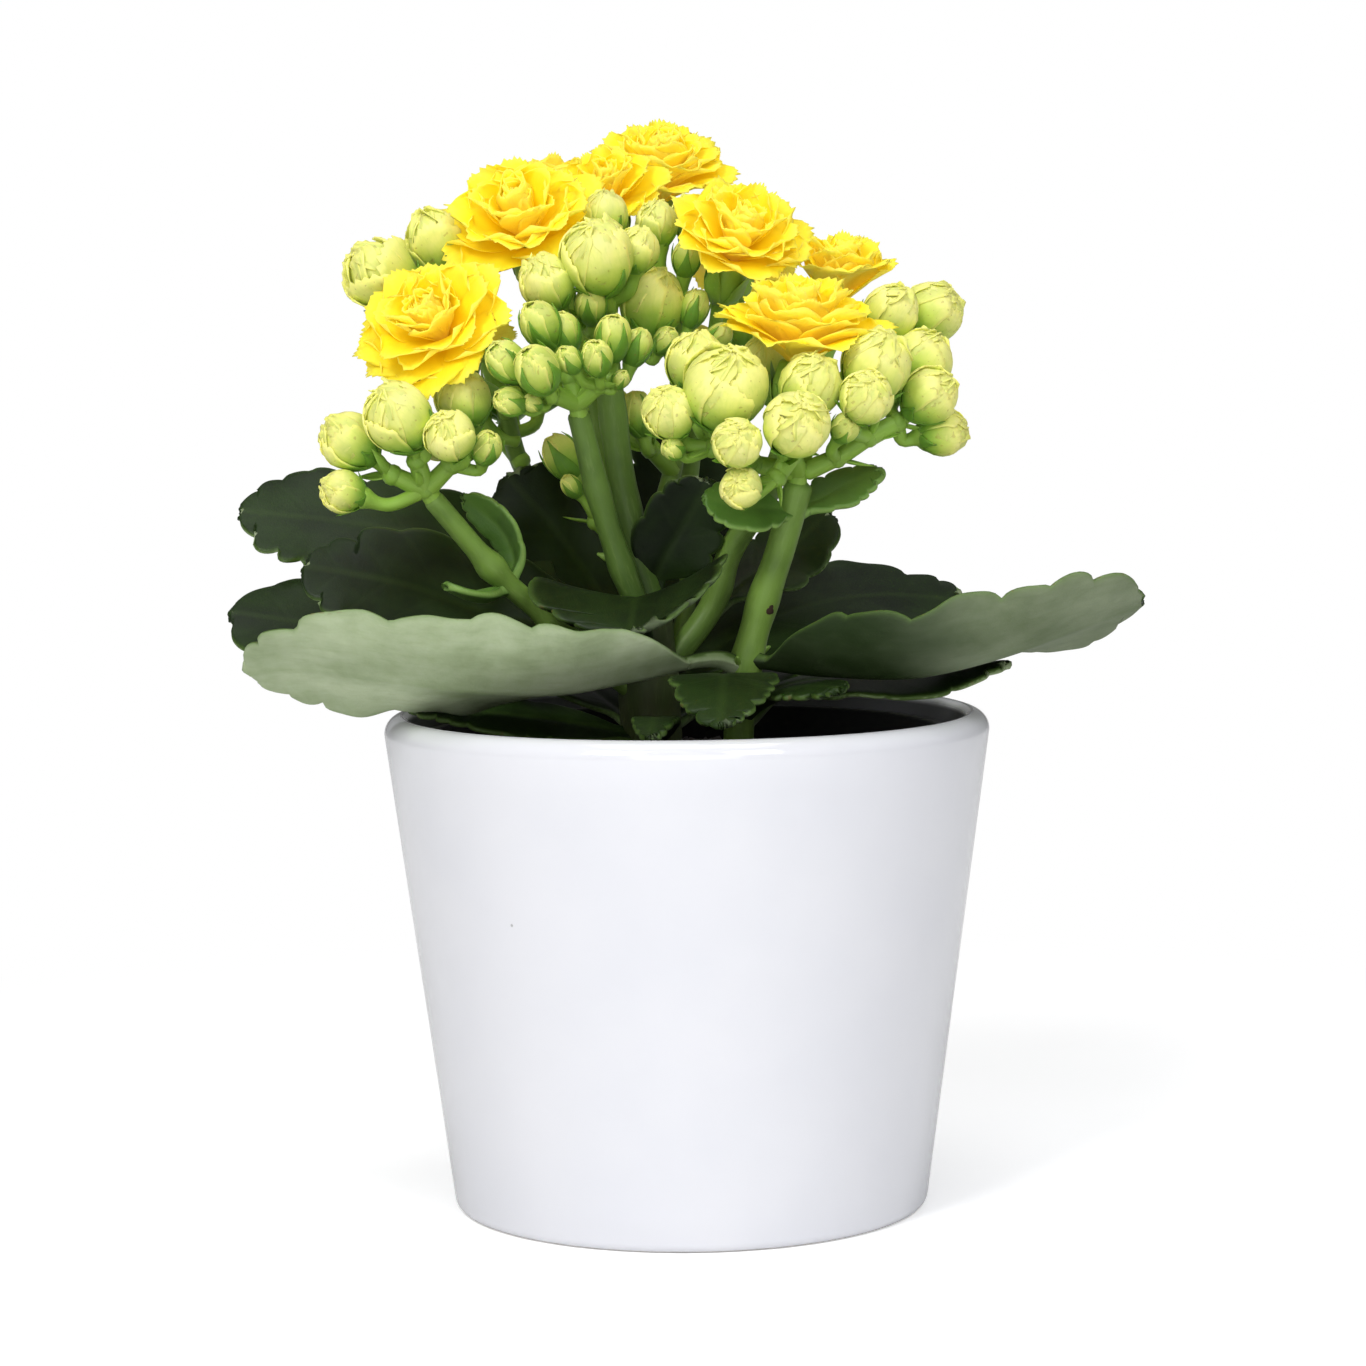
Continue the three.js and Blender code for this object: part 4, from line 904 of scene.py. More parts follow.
def leaf_look(upper_dark, upper_light, lower_painted_shade, lower_dark, lower_light, rim, gloss):
    """A fleshy leaf: dark waxy upper side, mottled pale matt lower side with painted shade, fine grain on
    both.
    """
    def build(g):
        edge, under, tone, pale = g.mark("edge"), g.mark("under"), g.mark("tone"), g.mark("ripe")
        along, across, _ = g.split(g.flow())
        out = across.maths("ABSOLUTE")
        broad = g.noise(g.flow(0.6, 1.0, 1.0), 0.1, 3.0, 0.55)
        mottle = g.noise(g.flow(), 0.5, 5.0, 0.65)
        grain = g.noise(g.flow(), 3.0, 3.0, 0.65)
        wrinkle = g.noise(g.flow(0.3, 1.3, 1.0), 1.0, 4.0, 0.6)
        vein = (along - VEIN_LEAN * out + 1.6 * broad) / VEIN_SPACING
        vein = vein - vein.maths("FLOOR")
        vein = (vein - 0.5).maths("ABSOLUTE").smooth(0.12, 0.0) * out.over(0.3, 1.2)
        rib = out.smooth(0.9, 0.1)
        upper = g.blend(broad.smooth(0.3, 0.7) * 0.5 + 0.25 * tone + 0.3 * (mottle - 0.5),
                        upper_dark, upper_light)
        upper = g.blend(vein * 0.02 + rib * 0.08, upper, rim)
        lower = g.blend(broad.smooth(0.25, 0.75) * 0.75 + 0.16 * mottle.smooth(0.3, 0.7),
                        lower_dark, lower_light)
        lower = g.blend(wrinkle.smooth(0.45, 0.75) * 0.12 + rib * 0.12, lower, rim)
        # Painted shade on the lower side: where the pale mark is low, mostly towards the foot, it darkens to
        # a deep green.
        lower = g.blend(pale + 0.3 * (broad - 0.5) * (1 - pale), lower_painted_shade, lower)
        color = g.blend(under, upper, lower)
        color = g.blend((edge ** 2.0) * 0.6, color, rim)
        blush = g.noise(g.flow(), 0.9, 1.0).smooth(0.64, 0.72) * edge.smooth(0.5, 0.95)
        color = g.blend(blush * 0.3, color, srgb(110, 70, 40))
        height = grain * 0.45 + wrinkle * (0.5 * under) - vein * 0.2 + 0.6 * mottle
        return {"Base_Color": color, "Roughness": mix(gloss, gloss + 0.16, under) + 0.14 * (grain - 0.5),
                "Specular_IOR_Level": 0.22, "Subsurface_Weight": 0.06, "Subsurface_Scale": 1.5 * MM,
                "Subsurface_Radius": (0.5, 1.0, 0.2), "Normal": g.bump(height, 0.5, 0.16)}

    return build


def stem_look(young, old, streak):
    """A soft stem: fine pale streaks along it, older and browner towards its foot, with corky scars."""
    def build(g):
        ripe, under = g.mark("ripe"), g.mark("under")
        streaks = g.noise(g.flow(2.6, 2.6, 0.35), 1.0, 4.0, 0.6)
        mottle = g.noise(g.flow(0.6, 0.6, 0.3), 0.5, 3.0)
        grain = g.noise(g.flow(), 3.0, 2.0, 0.6)
        color = g.blend(mottle.smooth(0.35, 0.85) * 0.5, young, old)
        color = g.blend(ripe.smooth(0.0, 1.0) * 0.8, color, old)
        color = g.blend(streaks.smooth(0.5, 0.8) * 0.25, color, streak)
        scar = under.smooth(0.3, 0.7)
        color = g.blend(scar, color, g.blend(mottle, srgb(30, 20, 12), srgb(72, 50, 32)))
        return {"Base_Color": color, "Roughness": 0.44 + 0.1 * grain + 0.3 * scar,
                "Specular_IOR_Level": 0.35, "Subsurface_Weight": 0.12, "Subsurface_Scale": 1.5 * MM,
                "Subsurface_Radius": (0.6, 1.0, 0.2),
                "Normal": g.bump(0.5 * streaks + 0.5 * grain + scar * mottle * 2.0, 0.35, 0.12)}

    return build


def bud_look(g):
    """Closed petals: pale lemon towards the crest, green at the foot, with green sepals and a faint painted
    glow.
    """
    tone, ripe, under, edge = g.mark("tone"), g.mark("ripe"), g.mark("under"), g.mark("edge")
    veins = g.noise(g.flow(1.6, 6.0, 1.0), 1.6, 3.0, 0.6)
    mottle = g.noise(g.place(), 0.45, 3.0)
    share = ripe * 0.95 + 0.22 * (tone - 0.5) + 0.3 * (mottle - 0.5)
    color = g.ramp(share, (0.0, srgb(100, 146, 46)), (0.2, srgb(134, 176, 60)), (0.45, srgb(188, 206, 88)),
                   (0.75, srgb(230, 231, 128)), (1.0, srgb(248, 241, 150)))
    color = g.blend(veins.smooth(0.45, 0.8) * 0.2, color, srgb(160, 196, 52))
    color = g.blend(edge.smooth(0.3, 1.0) * 0.6 * ripe.over(0.2, 0.5), color, srgb(246, 240, 132))
    speck = g.noise(g.place(), 1.7, 0.0).smooth(0.76, 0.79)
    color = g.blend(speck * 0.35, color, srgb(140, 110, 40))
    # Painted light: the buds glow faintly in their own colour, more towards the crest.
    return {"Base_Color": color, "Roughness": 0.46 + 0.14 * veins, "Specular_IOR_Level": 0.3,
            "Subsurface_Weight": 0.25, "Subsurface_Scale": 1.0 * MM, "Subsurface_Radius": (0.9, 1.0, 0.25),
            "Emission_Color": g.blend(ripe, (0, 0, 0, 1), color), "Emission_Strength": 0.06,
            "Normal": g.bump(veins + 0.3 * under, 0.35, 0.1)}


def petal_look(g):
    """Thin yellow petals: deeper at the foot and in the heart, clear yellow at the rim, paler behind,
    painted glow.
    """
    tone, ripe, under, edge = g.mark("tone"), g.mark("ripe"), g.mark("under"), g.mark("edge")
    veins = g.noise(g.flow(0.25, 3.0, 1.0), 1.5, 3.0, 0.6)
    wash = g.noise(g.place(), 0.3, 3.0)
    share = ripe * 0.85 + 0.15 * tone + 0.3 * (wash - 0.5)
    color = g.ramp(share, (0.0, srgb(248, 200, 0)), (0.3, srgb(253, 217, 14)), (0.65, srgb(255, 227, 36)),
                   (1.0, srgb(255, 237, 78)))
    color = g.blend(under * (0.35 + 0.4 * tone), color, srgb(255, 238, 112))
    color = g.blend(veins.smooth(0.45, 0.8) * 0.12, color, srgb(248, 190, 0))
    color = g.blend(edge.smooth(0.5, 1.0) * 0.3, color, srgb(255, 240, 96))
    # Painted light: the petals glow faintly in their own colour.
    return {"Base_Color": color, "Roughness": 0.55 + 0.12 * veins, "Specular_IOR_Level": 0.22,
            "Subsurface_Weight": 0.35, "Subsurface_Scale": 1.4 * MM, "Subsurface_Radius": (1.0, 0.8, 0.12),
            "Emission_Color": color, "Emission_Strength": 0.09, "Normal": g.bump(veins, 0.3, 0.08)}


GLAZE = material("white_glaze", glaze)
BLACK_PLASTIC = material("black_pot_plastic", pot_plastic)
PEAT = material("moist_peat", peat)
# Each leaf's deepest lower colour is its painted shade.
LEAF = material("leaf_dark", leaf_look(
    upper_dark=srgb(12, 23, 6), upper_light=srgb(40, 62, 20), lower_painted_shade=srgb(34, 50, 20),
    lower_dark=srgb(128, 144, 104), lower_light=srgb(182, 194, 160), rim=srgb(88, 116, 50), gloss=0.46))
BRACT = material("leaf_young", leaf_look(
    upper_dark=srgb(66, 100, 36), upper_light=srgb(106, 144, 62), lower_painted_shade=srgb(92, 126, 56),
    lower_dark=srgb(92, 126, 56), lower_light=srgb(126, 160, 82), rim=srgb(150, 184, 96), gloss=0.38))
STEM = material("stem_green", stem_look(
    young=srgb(118, 150, 64), old=srgb(50, 78, 28), streak=srgb(148, 172, 100)))
OLD_STEM = material("stem_old", stem_look(
    young=srgb(66, 92, 42), old=srgb(62, 60, 36), streak=srgb(110, 122, 74)))
BRANCH = material("stalk_light", stem_look(
    young=srgb(142, 180, 68), old=srgb(98, 142, 46), streak=srgb(184, 208, 112)))
BUD = material("bud_petals", bud_look)
PETAL = material("yellow_petals", petal_look)


# ---------------------------------------------------------------- pots and peat


def pot_outer(z):
    """Outer radius of the cover pot at a height."""
    return mix(POT_BASE_RADIUS, POT_RIM_RADIUS, z / POT_HEIGHT)


def nursery_outer(z):
    """Outer radius of the growing pot at a height."""
    return mix(NURSERY_BASE_RADIUS, NURSERY_RIM_RADIUS, z / NURSERY_RIM_Z)


def arc(r, z, radius, first, last, steps):
    """Points of a profile round (r, z), from one angle to another in degrees."""
    angles = np.radians(np.linspace(first, last, steps + 1))
    return [(r + radius * math.cos(a), z + radius * math.sin(a)) for a in angles]


def ladder(low, high, steps, of):
    """Points up or down a wall, so that long faces don't run from foot to rim."""
    return [(of(z), z) for z in np.linspace(low, high, steps + 2)[1:-1]]


def make_cover_pot():
    """The glazed pot: thrown a hair out of true, with a thick rounded lip and soft corners inside."""
    lip_z = POT_HEIGHT - LIP_OUTER
    inner_z = POT_HEIGHT - LIP_INNER
    floor_r = pot_outer(POT_FLOOR) - POT_WALL
    recess_r = POT_BASE_RADIUS - FOOT_RING
    profile = [(0, FOOT_RECESS), (recess_r, FOOT_RECESS)]
    profile += arc(recess_r, FOOT_RECESS / 2, FOOT_RECESS / 2, 90, -60, 3)[1:]
    profile += [(recess_r + 1, 0)]
    profile += arc(pot_outer(POT_FILLET) - POT_FILLET, POT_FILLET, POT_FILLET, -90, -8, 7)
    profile += ladder(POT_FILLET, lip_z, 14, pot_outer)
    profile += arc(pot_outer(lip_z) - LIP_OUTER, lip_z, LIP_OUTER, 0, 90, 9)
    profile += arc(POT_RIM_RADIUS - POT_WALL + LIP_INNER, inner_z, LIP_INNER, 90, 180, 6)
    profile += ladder(inner_z, POT_FLOOR + POT_INNER_FILLET + 1, 12, lambda z: pot_outer(z) - POT_WALL)
    profile += arc(floor_r - POT_INNER_FILLET, POT_FLOOR + POT_INNER_FILLET, POT_INNER_FILLET, 0, -90, 6)
    profile += [(floor_r / 2, POT_FLOOR), (0, POT_FLOOR)]

    def out_of_true(radius, height, turn):
        lift = height / POT_HEIGHT
        radius = radius * (1 + 0.0016 * np.sin(2 * turn + 0.7) * lift)
        return radius, height + 0.05 * np.sin(3 * turn) * lift ** 8

    form = Form()
    form.lathe(profile, 180, wobble=out_of_true)
    shown(form.made("glazed_cover_pot", GLAZE), "cover_pot")


def make_nursery_pot():
    """The thin growing pot: rolled rim, smooth wall and a raised floor with drain holes."""
    foot = POT_FLOOR + GAP
    raised = foot + NURSERY_RAISE
    ring_r = NURSERY_RAISED_RADIUS + 2.4
    foot_r = nursery_outer(foot)
    collar = NURSERY_RIM_Z - NURSERY_FLANGE_HEIGHT
    profile = [(0, raised), (NURSERY_RAISED_RADIUS, raised)]
    profile += [(ring_r, foot), (foot_r - 0.6, foot), (foot_r, foot + 0.5)]
    profile += ladder(foot + 0.5, collar, 10, nursery_outer)
    profile += [(nursery_outer(collar), collar), (nursery_outer(collar) + NURSERY_FLANGE, collar)]
    outer, inner = NURSERY_LIP_OUTER, NURSERY_LIP_INNER
    profile += arc(NURSERY_RIM_RADIUS + NURSERY_FLANGE - outer, NURSERY_RIM_Z - outer, outer, 0, 90, 4)
    profile += arc(NURSERY_RIM_RADIUS - NURSERY_WALL + inner, NURSERY_RIM_Z - inner, inner, 90, 180, 3)
    profile += ladder(NURSERY_RIM_Z - outer, foot + 2, 8, lambda z: nursery_outer(z) - NURSERY_WALL)
    profile += [(foot_r - NURSERY_WALL - 0.4, foot + NURSERY_WALL), (ring_r + 0.2, foot + NURSERY_WALL),
                (NURSERY_RAISED_RADIUS + 0.2, raised + NURSERY_WALL), (0, raised + NURSERY_WALL)]
    form = Form()
    form.lathe(profile, 120)
    pot = form.made("growing_pot", BLACK_PLASTIC)
    drills = Form()
    for k in range(DRAIN_HOLES):
        turn = 2 * math.pi * k / DRAIN_HOLES
        centre = np.array((DRAIN_CIRCLE * math.cos(turn), DRAIN_CIRCLE * math.sin(turn), foot))
        drills.tube(Line([centre - (0, 0, 3), centre + (0, 0, 4)]), [DRAIN_RADIUS] * 2, 20)
    cutter = drills.made("drain_drills")
    for piece in (pot, cutter):
        on_scene(piece)
    cut = pot.modifiers.new("drain_holes", "BOOLEAN")
    cut.operation, cut.object, cut.solver = "DIFFERENCE", cutter, "EXACT"
    plain(pot)
    bpy.data.objects.remove(cutter)
    shown(pot, "nursery_pot")


def plain(piece):
    """Turns what the modifiers show into the piece's own mesh."""
    graph = bpy.context.evaluated_depsgraph_get()
    mesh = bpy.data.meshes.new_from_object(piece.evaluated_get(graph), preserve_all_data_layers=True,
                                           depsgraph=graph)
    old = piece.data
    piece.modifiers.clear()
    piece.data = mesh
    bpy.data.meshes.remove(old)


def crumb_tree():
    """Geometry Nodes: loose peat crumbs scattered over the top of the peat."""
    g = new_tree("peat_crumbs", Ground="Geometry", Crumbs="Collection", Per_square_metre="Float",
                 Smallest="Float", Largest="Float", Seed="Int", Surface="Material")
    source = g.node("NodeGroupInput")
    seed = source.of("Seed")
    height = g.split(g.node("GeometryNodeInputPosition"))[2]
    facing = g.split(g.node("GeometryNodeInputNormal"))[2]
    open_top = height.maths("GREATER_THAN", PEAT_EDGE_Z * MM - 0.0014) * facing.maths("GREATER_THAN", 0.2)
    spots = g.node("GeometryNodeDistributePointsOnFaces", {}, Mesh=source.of("Ground"), Selection=open_top,
                   Density=source.of("Per square metre"), Seed=seed)
    size = g.chance(0.0, 1.0, seed) ** 2.5
    size = source.of("Smallest") + (source.of("Largest") - source.of("Smallest")) * size
    spin = g.node("FunctionNodeRandomValue", {"data_type": "FLOAT_VECTOR"}, Min=(0, 0, 0),
                  Max=(6.28, 6.28, 6.28), Seed=seed + 3)
    spin = g.node("FunctionNodeEulerToRotation", {}, spin)
    spots = g.toned(spots.of("Points"), "POINT", g.chance(0.0, 1.0, seed + 5))
    crumbs = g.repeated(source.of("Crumbs"), spots, Rotation=spin, Scale=size)
    both = g.node("GeometryNodeJoinGeometry")
    for part in (crumbs, source.of("Ground")):
        g.tree.links.new(part.socket, both.made.inputs[0])
    return g.finished(both, source.of("Surface"))


def new_tree(name, **inputs):
    """The graph of a new Geometry Nodes tree with these inputs, each a name and a kind of socket."""
    tree = bpy.data.node_groups.new(name, "GeometryNodeTree")
    for label, kind in inputs.items():
        tree.interface.new_socket(label.replace("_", " "), in_out="INPUT", socket_type="NodeSocket" + kind)
    tree.interface.new_socket("Result", in_out="OUTPUT", socket_type="NodeSocketGeometry")
    return Graph(tree)


def grown(piece, tree, **values):
    """Runs a tree on a piece and leaves the result as its plain mesh."""
    on_scene(piece)
    modifier = piece.modifiers.new(tree.name, "NODES")
    modifier.node_group = tree
    keys = {item.name: item.identifier for item in tree.interface.items_tree if item.in_out == "INPUT"}
    for name, value in values.items():
        modifier[keys[name.replace("_", " ")]] = value
    plain(piece)
    return piece


def kit(name, forms, scale=1.0):
    """A collection of shapes to be repeated, kept off the scene, and at unit size unless scaled."""
    collection = bpy.data.collections.new(name)
    for k, form in enumerate(forms):
        collection.objects.link(form.made(f"{name}_{k:02d}", scale=scale))
    return collection


def make_peat():
    """The root ball: a low uneven dome of peat with loose crumbs on it."""
    low = POT_FLOOR + 2 * GAP + NURSERY_WALL
    inset = NURSERY_WALL + GAP
    edge_r = nursery_outer(PEAT_EDGE_Z) - inset
    profile = [(0, low), (nursery_outer(low) - inset, low)]
    profile += ladder(low, PEAT_EDGE_Z, 5, lambda z: nursery_outer(z) - inset)
    profile += [(edge_r, PEAT_EDGE_Z)]
    radii = edge_r * (1 - np.linspace(0, 1, 34)[1:] ** 1.1)
    profile += [(r, mix(PEAT_CENTRE_Z, PEAT_EDGE_Z, (r / edge_r) ** 2)) for r in np.maximum(radii, 0)]

    def uneven(radius, height, turn):
        x, y = radius * np.cos(turn), radius * np.sin(turn)
        rough = np.array([noise.fractal(Vector((a * 0.35, b * 0.35, 1.7)), 1.0, 2.1, 5)
                          for a, b in zip(x.ravel(), y.ravel())]).reshape(x.shape)
        top = np.clip((height - PEAT_EDGE_Z + 0.2) / 0.3, 0, 1) * np.clip((edge_r - radius) / 1.5, 0, 1)
        return radius, height + 0.75 * rough * top

    form = Form()
    form.lathe(profile, 110, wobble=uneven)
    ground = form.made("peat_root_ball", PEAT)
    rng = random.Random(5)
    crumbs = []
    for _ in range(CRUMB_KINDS):
        form = Form()
        form.ball((0, 0, 0), (1.0, rng.uniform(0.6, 1.3)), sides=6)
        form.places = [p * np.array([[rng.uniform(0.6, 1.3) for _ in range(3)] for _ in p])
                       for p in form.places]
        crumbs.append(form)
    grown(ground, crumb_tree(), Crumbs=kit("crumb", crumbs), Per_square_metre=CRUMBS_PER_SQUARE_METRE,
          Smallest=CRUMB_SMALLEST * MM, Largest=CRUMB_LARGEST * MM, Seed=4, Surface=PEAT)
    shown(ground, "growing_medium")


# ---------------------------------------------------------------- stems


def stem_radii(line, radius, swellings):
    """Radius along a stem: a little thinner upwards, with a swelling at each node."""
    shares = np.linspace(0, 1, max(12, int(line.length / 0.9)))
    radii = radius * mix(1.05, 0.96, shares)
    for share, amount in swellings:
        radii = radii + radius * amount * np.exp(-((shares - share) * line.length / (1.3 * radius)) ** 2)
    return shares, radii


def beside_stem(way, turn):
    """The direction away from a stem, turned about it by degrees."""
    return turned(unit(np.cross(way, (0, 0, 1.0))), way, np.radians(turn))


def make_stems():
    """The green stems and the old crown stem, with their nodes, leaf scars and small shoots."""
    for number, (name, stem) in enumerate(STEMS.items()):
        rng = random.Random(600 + number)
        line = Line(stem["line"])
        radius = stem["radius"]
        shares, radii = stem_radii(line, radius, stem.get("nodes", ()))
        form = Form()
        ripe = mix(*stem.get("age", (0.7, 0.0)), np.clip(shares * 1.4, 0, 1))
        form.tube(line, radii, 26, ridge=0.03, ripe=ripe)
        for share, turn, size in stem.get("scars", ()):
            for _ in range(4):
                spot = share + rng.uniform(-0.5, 0.5) * size / line.length
                side = beside_stem(line.along(spot), turn + rng.uniform(-24, 24))
                wide = size * rng.uniform(0.4, 0.75)
                form.ball(line.at(spot) + side * radius * 0.95, (wide, wide * 0.5), side, 12, under=1.0)
        for share, turn, size in stem.get("shoots", ()):
            way = line.along(share)
            side = beside_stem(way, turn)
            foot = line.at(share) + side * radius * 0.8
            for tilt in (-0.5, 0.5):
                tip = foot + (side + 0.7 * way + tilt * np.cross(side, way)) * size
                form.tube(Line([foot, mix(foot, tip, 0.5) + 0.15 * size * side, tip]),
                          [0.32 * size, 0.36 * size, 0.12 * size], 10)
        surface, slot = (OLD_STEM, "old_stem") if name == "crown_stem" else (STEM, "green_stem")
        shown(form.made(name + "_grown", surface), name)


# ---------------------------------------------------------------- leaves


def blade_width(share, half, foot, tip):
    """Half width of the blade from its wedge-shaped foot to its blunt round tip."""
    return half * (1 - (1 - share) ** foot) * np.sqrt(1 - np.clip(share, 0, 1) ** tip)


def blade_shares():
    """Shares along the blade, closer together at its foot and its tip."""
    return (1 - np.cos(np.pi * np.linspace(0, 1, BLADE_ROWS))) / 2


def margin(rib_length, leaf, rng):
    """One scalloped margin, row by row as (along, out) in millimetres: round lobes that lean to the tip."""
    half, stalk = leaf["half"], leaf["stalk"]
    shares = blade_shares()
    along = rib_length * mix(stalk, 1, shares)
    out = blade_width(shares, half, leaf["foot"], leaf["tip"])
    way = unit(np.stack([np.gradient(along), np.gradient(out)], -1))
    steps = np.hypot(np.diff(along), np.diff(out))
    from_tip = np.concatenate([np.cumsum(steps[::-1])[::-1], [0]])
    wide, depth = leaf.get("lobes", BROAD_LOBES if half > BROAD_FROM else SMALL_LOBES)
    pitch = mix(wide * 0.5, wide, np.clip(from_tip / 24, 0, 1))
    phase = 0.5 + np.concatenate([np.cumsum((steps / pitch[1:])[::-1])[::-1], [0]])
    phase = phase + 0.22 * (np.sin(phase * 1.9 + rng.uniform(0, 6)) + 1)
    inside = phase - np.floor(phase)
    notch = 1 - np.sin(np.pi * (1 - inside) ** 1.45) ** 0.36
    fade = np.clip((1 - from_tip / from_tip[0] - 0.2) / 0.12, 0, 1)
    lobes = np.array([rng.uniform(0.3, 1.3) for _ in range(60)])
    deep = depth * fade * lobes[np.floor(phase + 0.5).astype(int) % 60]
    along = along + way[:, 1] * deep * notch
    out = np.maximum(out - way[:, 0] * deep * notch, 0)
    return along, out


def leaf_form(leaf, rng):
    """A fleshy scalloped leaf on its rib: a short stalk, a groove above, a keel below, a rounded rim."""
    line = Line(leaf["rib"])
    half, stalk = leaf["half"], leaf["stalk"]
    stem_half = min(PETIOLE_HALF, half / 3)
    petiole = np.linspace(0, stalk, PETIOLE_ROWS, endpoint=False) * line.length
    sides = []
    for _ in range(2):
        along, out = margin(line.length, leaf, rng)
        blade_share = np.clip((along / line.length - stalk) / (1 - stalk), 0, 1)
        slim = stem_half * (1 - np.clip(blade_share * 1.4, 0, 1))
        out = np.sqrt(out ** 2 + slim ** 2)
        sides.append((np.concatenate([petiole, along]),
                      np.concatenate([np.full(PETIOLE_ROWS, stem_half), out])))
    shares = blade_shares()
    centre = np.concatenate([petiole, line.length * mix(stalk, 1, shares - 0.05 * np.sin(np.pi * shares))])
    cross = np.array(LEAF_COLUMNS)
    cross = np.concatenate([-cross[::-1], cross[1:]])
    size = np.abs(cross)[None]
    left = cross[None] > 0
    far = np.where(left, sides[0][0][:, None], sides[1][0][:, None])
    wide = np.where(left, sides[0][1][:, None], sides[1][1][:, None])
    along = mix(centre[:, None], far, size ** 1.6)
    out = size * wide
    u = along / line.length
    on_rib = np.clip(u, 0, 1)
    way = line.along(u)
    place = line.at(u)
    up = np.array(leaf["up"], float)
    above = unit(up - way * np.sum(way * up, -1, keepdims=True))
    above = turned(above, way, np.radians(mix(*leaf["twist"], on_rib)))
    beside = np.cross(above, way)
    fold = np.radians(np.where(left, mix(*leaf["left"], on_rib), mix(*leaf["right"], on_rib)))
    bend = np.radians(np.where(left, *leaf["bend"]))
    first, reach = fold - bend / 2, out / half
    eased = np.sqrt(reach ** 2 + 0.14 ** 2) - 0.14
    lateral = half * (np.sin(first + bend * reach) - np.sin(first)) / bend
    lift = half * (np.cos(first) - np.cos(first + bend * eased)) / bend
    phase = rng.uniform(0, 6)
    ripple = np.sin(along * 2 * np.pi / LONG_WAVE + phase + np.where(left, 0, 2.1))
    ripple = ripple + 0.4 * np.sin(along * 2 * np.pi / SHORT_WAVE + 2 * phase + np.where(left, 0, 1.3))
    lift = lift + RIPPLE * half * ripple * size ** 2.2 * np.clip((u - stalk) * 4, 0, 1)
    lift = lift - 0.12 * half * (out / half) ** 3 * leaf["droop"]
    middle = place + beside * (np.where(left, 1, -1) * lateral)[..., None] + above * lift[..., None]
    thick = LEAF_THICKNESS * (0.78 - 0.22 * size) * np.ones_like(u)
    thick = thick * (1 + 0.8 * np.clip(1 - u / max(stalk, 0.05), 0, 1))
    rounded = np.sqrt(np.clip(1 - ((size - RIM_START) / (1 - RIM_START)).clip(0, 1) ** 2, 0, 1))
    groove = 0.3 * np.exp(-(out / 0.7) ** 2) * (1 - u).clip(0, 1)
    keel = 0.6 * np.exp(-(out / 1.4) ** 2) * (1 - 0.85 * u).clip(0.05, 1)
    quilt = 0.06 * np.sin((along - VEIN_LEAN * out) * 2 * np.pi / VEIN_SPACING) * size * (1 - size)
    upper = (thick / 2 - groove + quilt) * rounded
    lower = (thick / 2 + keel - quilt) * rounded
    flow = np.stack([along, out * np.where(left, 1, -1), np.zeros_like(u)], -1)
    edge = np.clip((size - 0.9) / 0.1, 0, 1) * np.ones_like(u)
    form = Form()
    # The lower side's painted shade: how little it darkens, from the leaf's foot to its tip.
    low, high, starts, ends = leaf["pale"]
    change = np.clip((u - starts) / (ends - starts), 0, 1)
    pale = mix(low, high, change * change * (3 - 2 * change))
    form.shell(middle, upper, lower, flow, edge=edge, tone=rng.random(), ripe=pale)
    return form


def make_leaves():
    """The dark leaves and the small pale ones at the stem nodes."""
    for number, (name, leaf) in enumerate(LEAVES.items()):
        rng = random.Random(40 + number)
        form = leaf_form({**LEAF_USUAL, **leaf}, rng)
        surface, slot = (BRACT, "young_leaf") if name.startswith("bract") else (LEAF, "leaf")
        shown(form.made(name + "_grown", surface), name)


# ---------------------------------------------------------------- buds


def bud_petal(form, rng, turn, start, end, wide, radius, tilt, flick, fringe, ripe, columns=17, rows=8,
              pointed=False):
    """One petal or sepal wrapped round a unit ball: up its meridian from start to end, wide each side."""
    b = np.linspace(0, 1, rows)[:, None] ** 0.85
    a = np.linspace(-1, 1, columns)[None]
    if pointed:
        shape = (1 - b ** 2.4) * (0.6 + 0.4 * np.sin(np.pi * np.clip(b * 1.25, 0, 1)))
        reach = b * np.ones_like(a)
    else:
        shape = (0.45 + 0.55 * np.sin(np.pi / 2 * np.clip(b / 0.6, 0, 1))) * np.ones_like(a)
        points = np.array([rng.uniform(0.4, 1.0) if j % 2 else 0.0 for j in range(columns)])[None]
        reach = b * (1 - 0.17 * a ** 2) + fringe * points * np.clip((b - 0.82) / 0.18, 0, 1)
    s = start + (end - start) * reach
    q = a * wide * shape
    over = radius + tilt * a + flick * np.clip((b - 0.6) / 0.4, 0, 1) ** 2
    over = over + 0.012 * np.sin(a * 5 + rng.uniform(0, 6)) * b
    middle = np.stack([np.cos(q) * np.sin(s) * over, np.sin(q) * over, -np.cos(q) * np.cos(s) * over], -1)
    thick = (0.04 if pointed else 0.028) * (1 - 0.5 * np.abs(a) ** 3) * np.ones_like(b)
    flow = np.stack([s, q, np.zeros_like(s)], -1)
    edge = np.maximum(np.abs(a) ** 6, np.clip((b - 0.86) / 0.14, 0, 1)) * np.ones_like(s)
    low, high = ripe
    part = Form()
    part.shell(middle, thick, thick, flow, edge=edge, ripe=mix(low, high, np.clip((s - 0.62) / 1.6, 0, 1)))
    form.take(part.moved(Matrix.Rotation(turn, 4, "Z")))


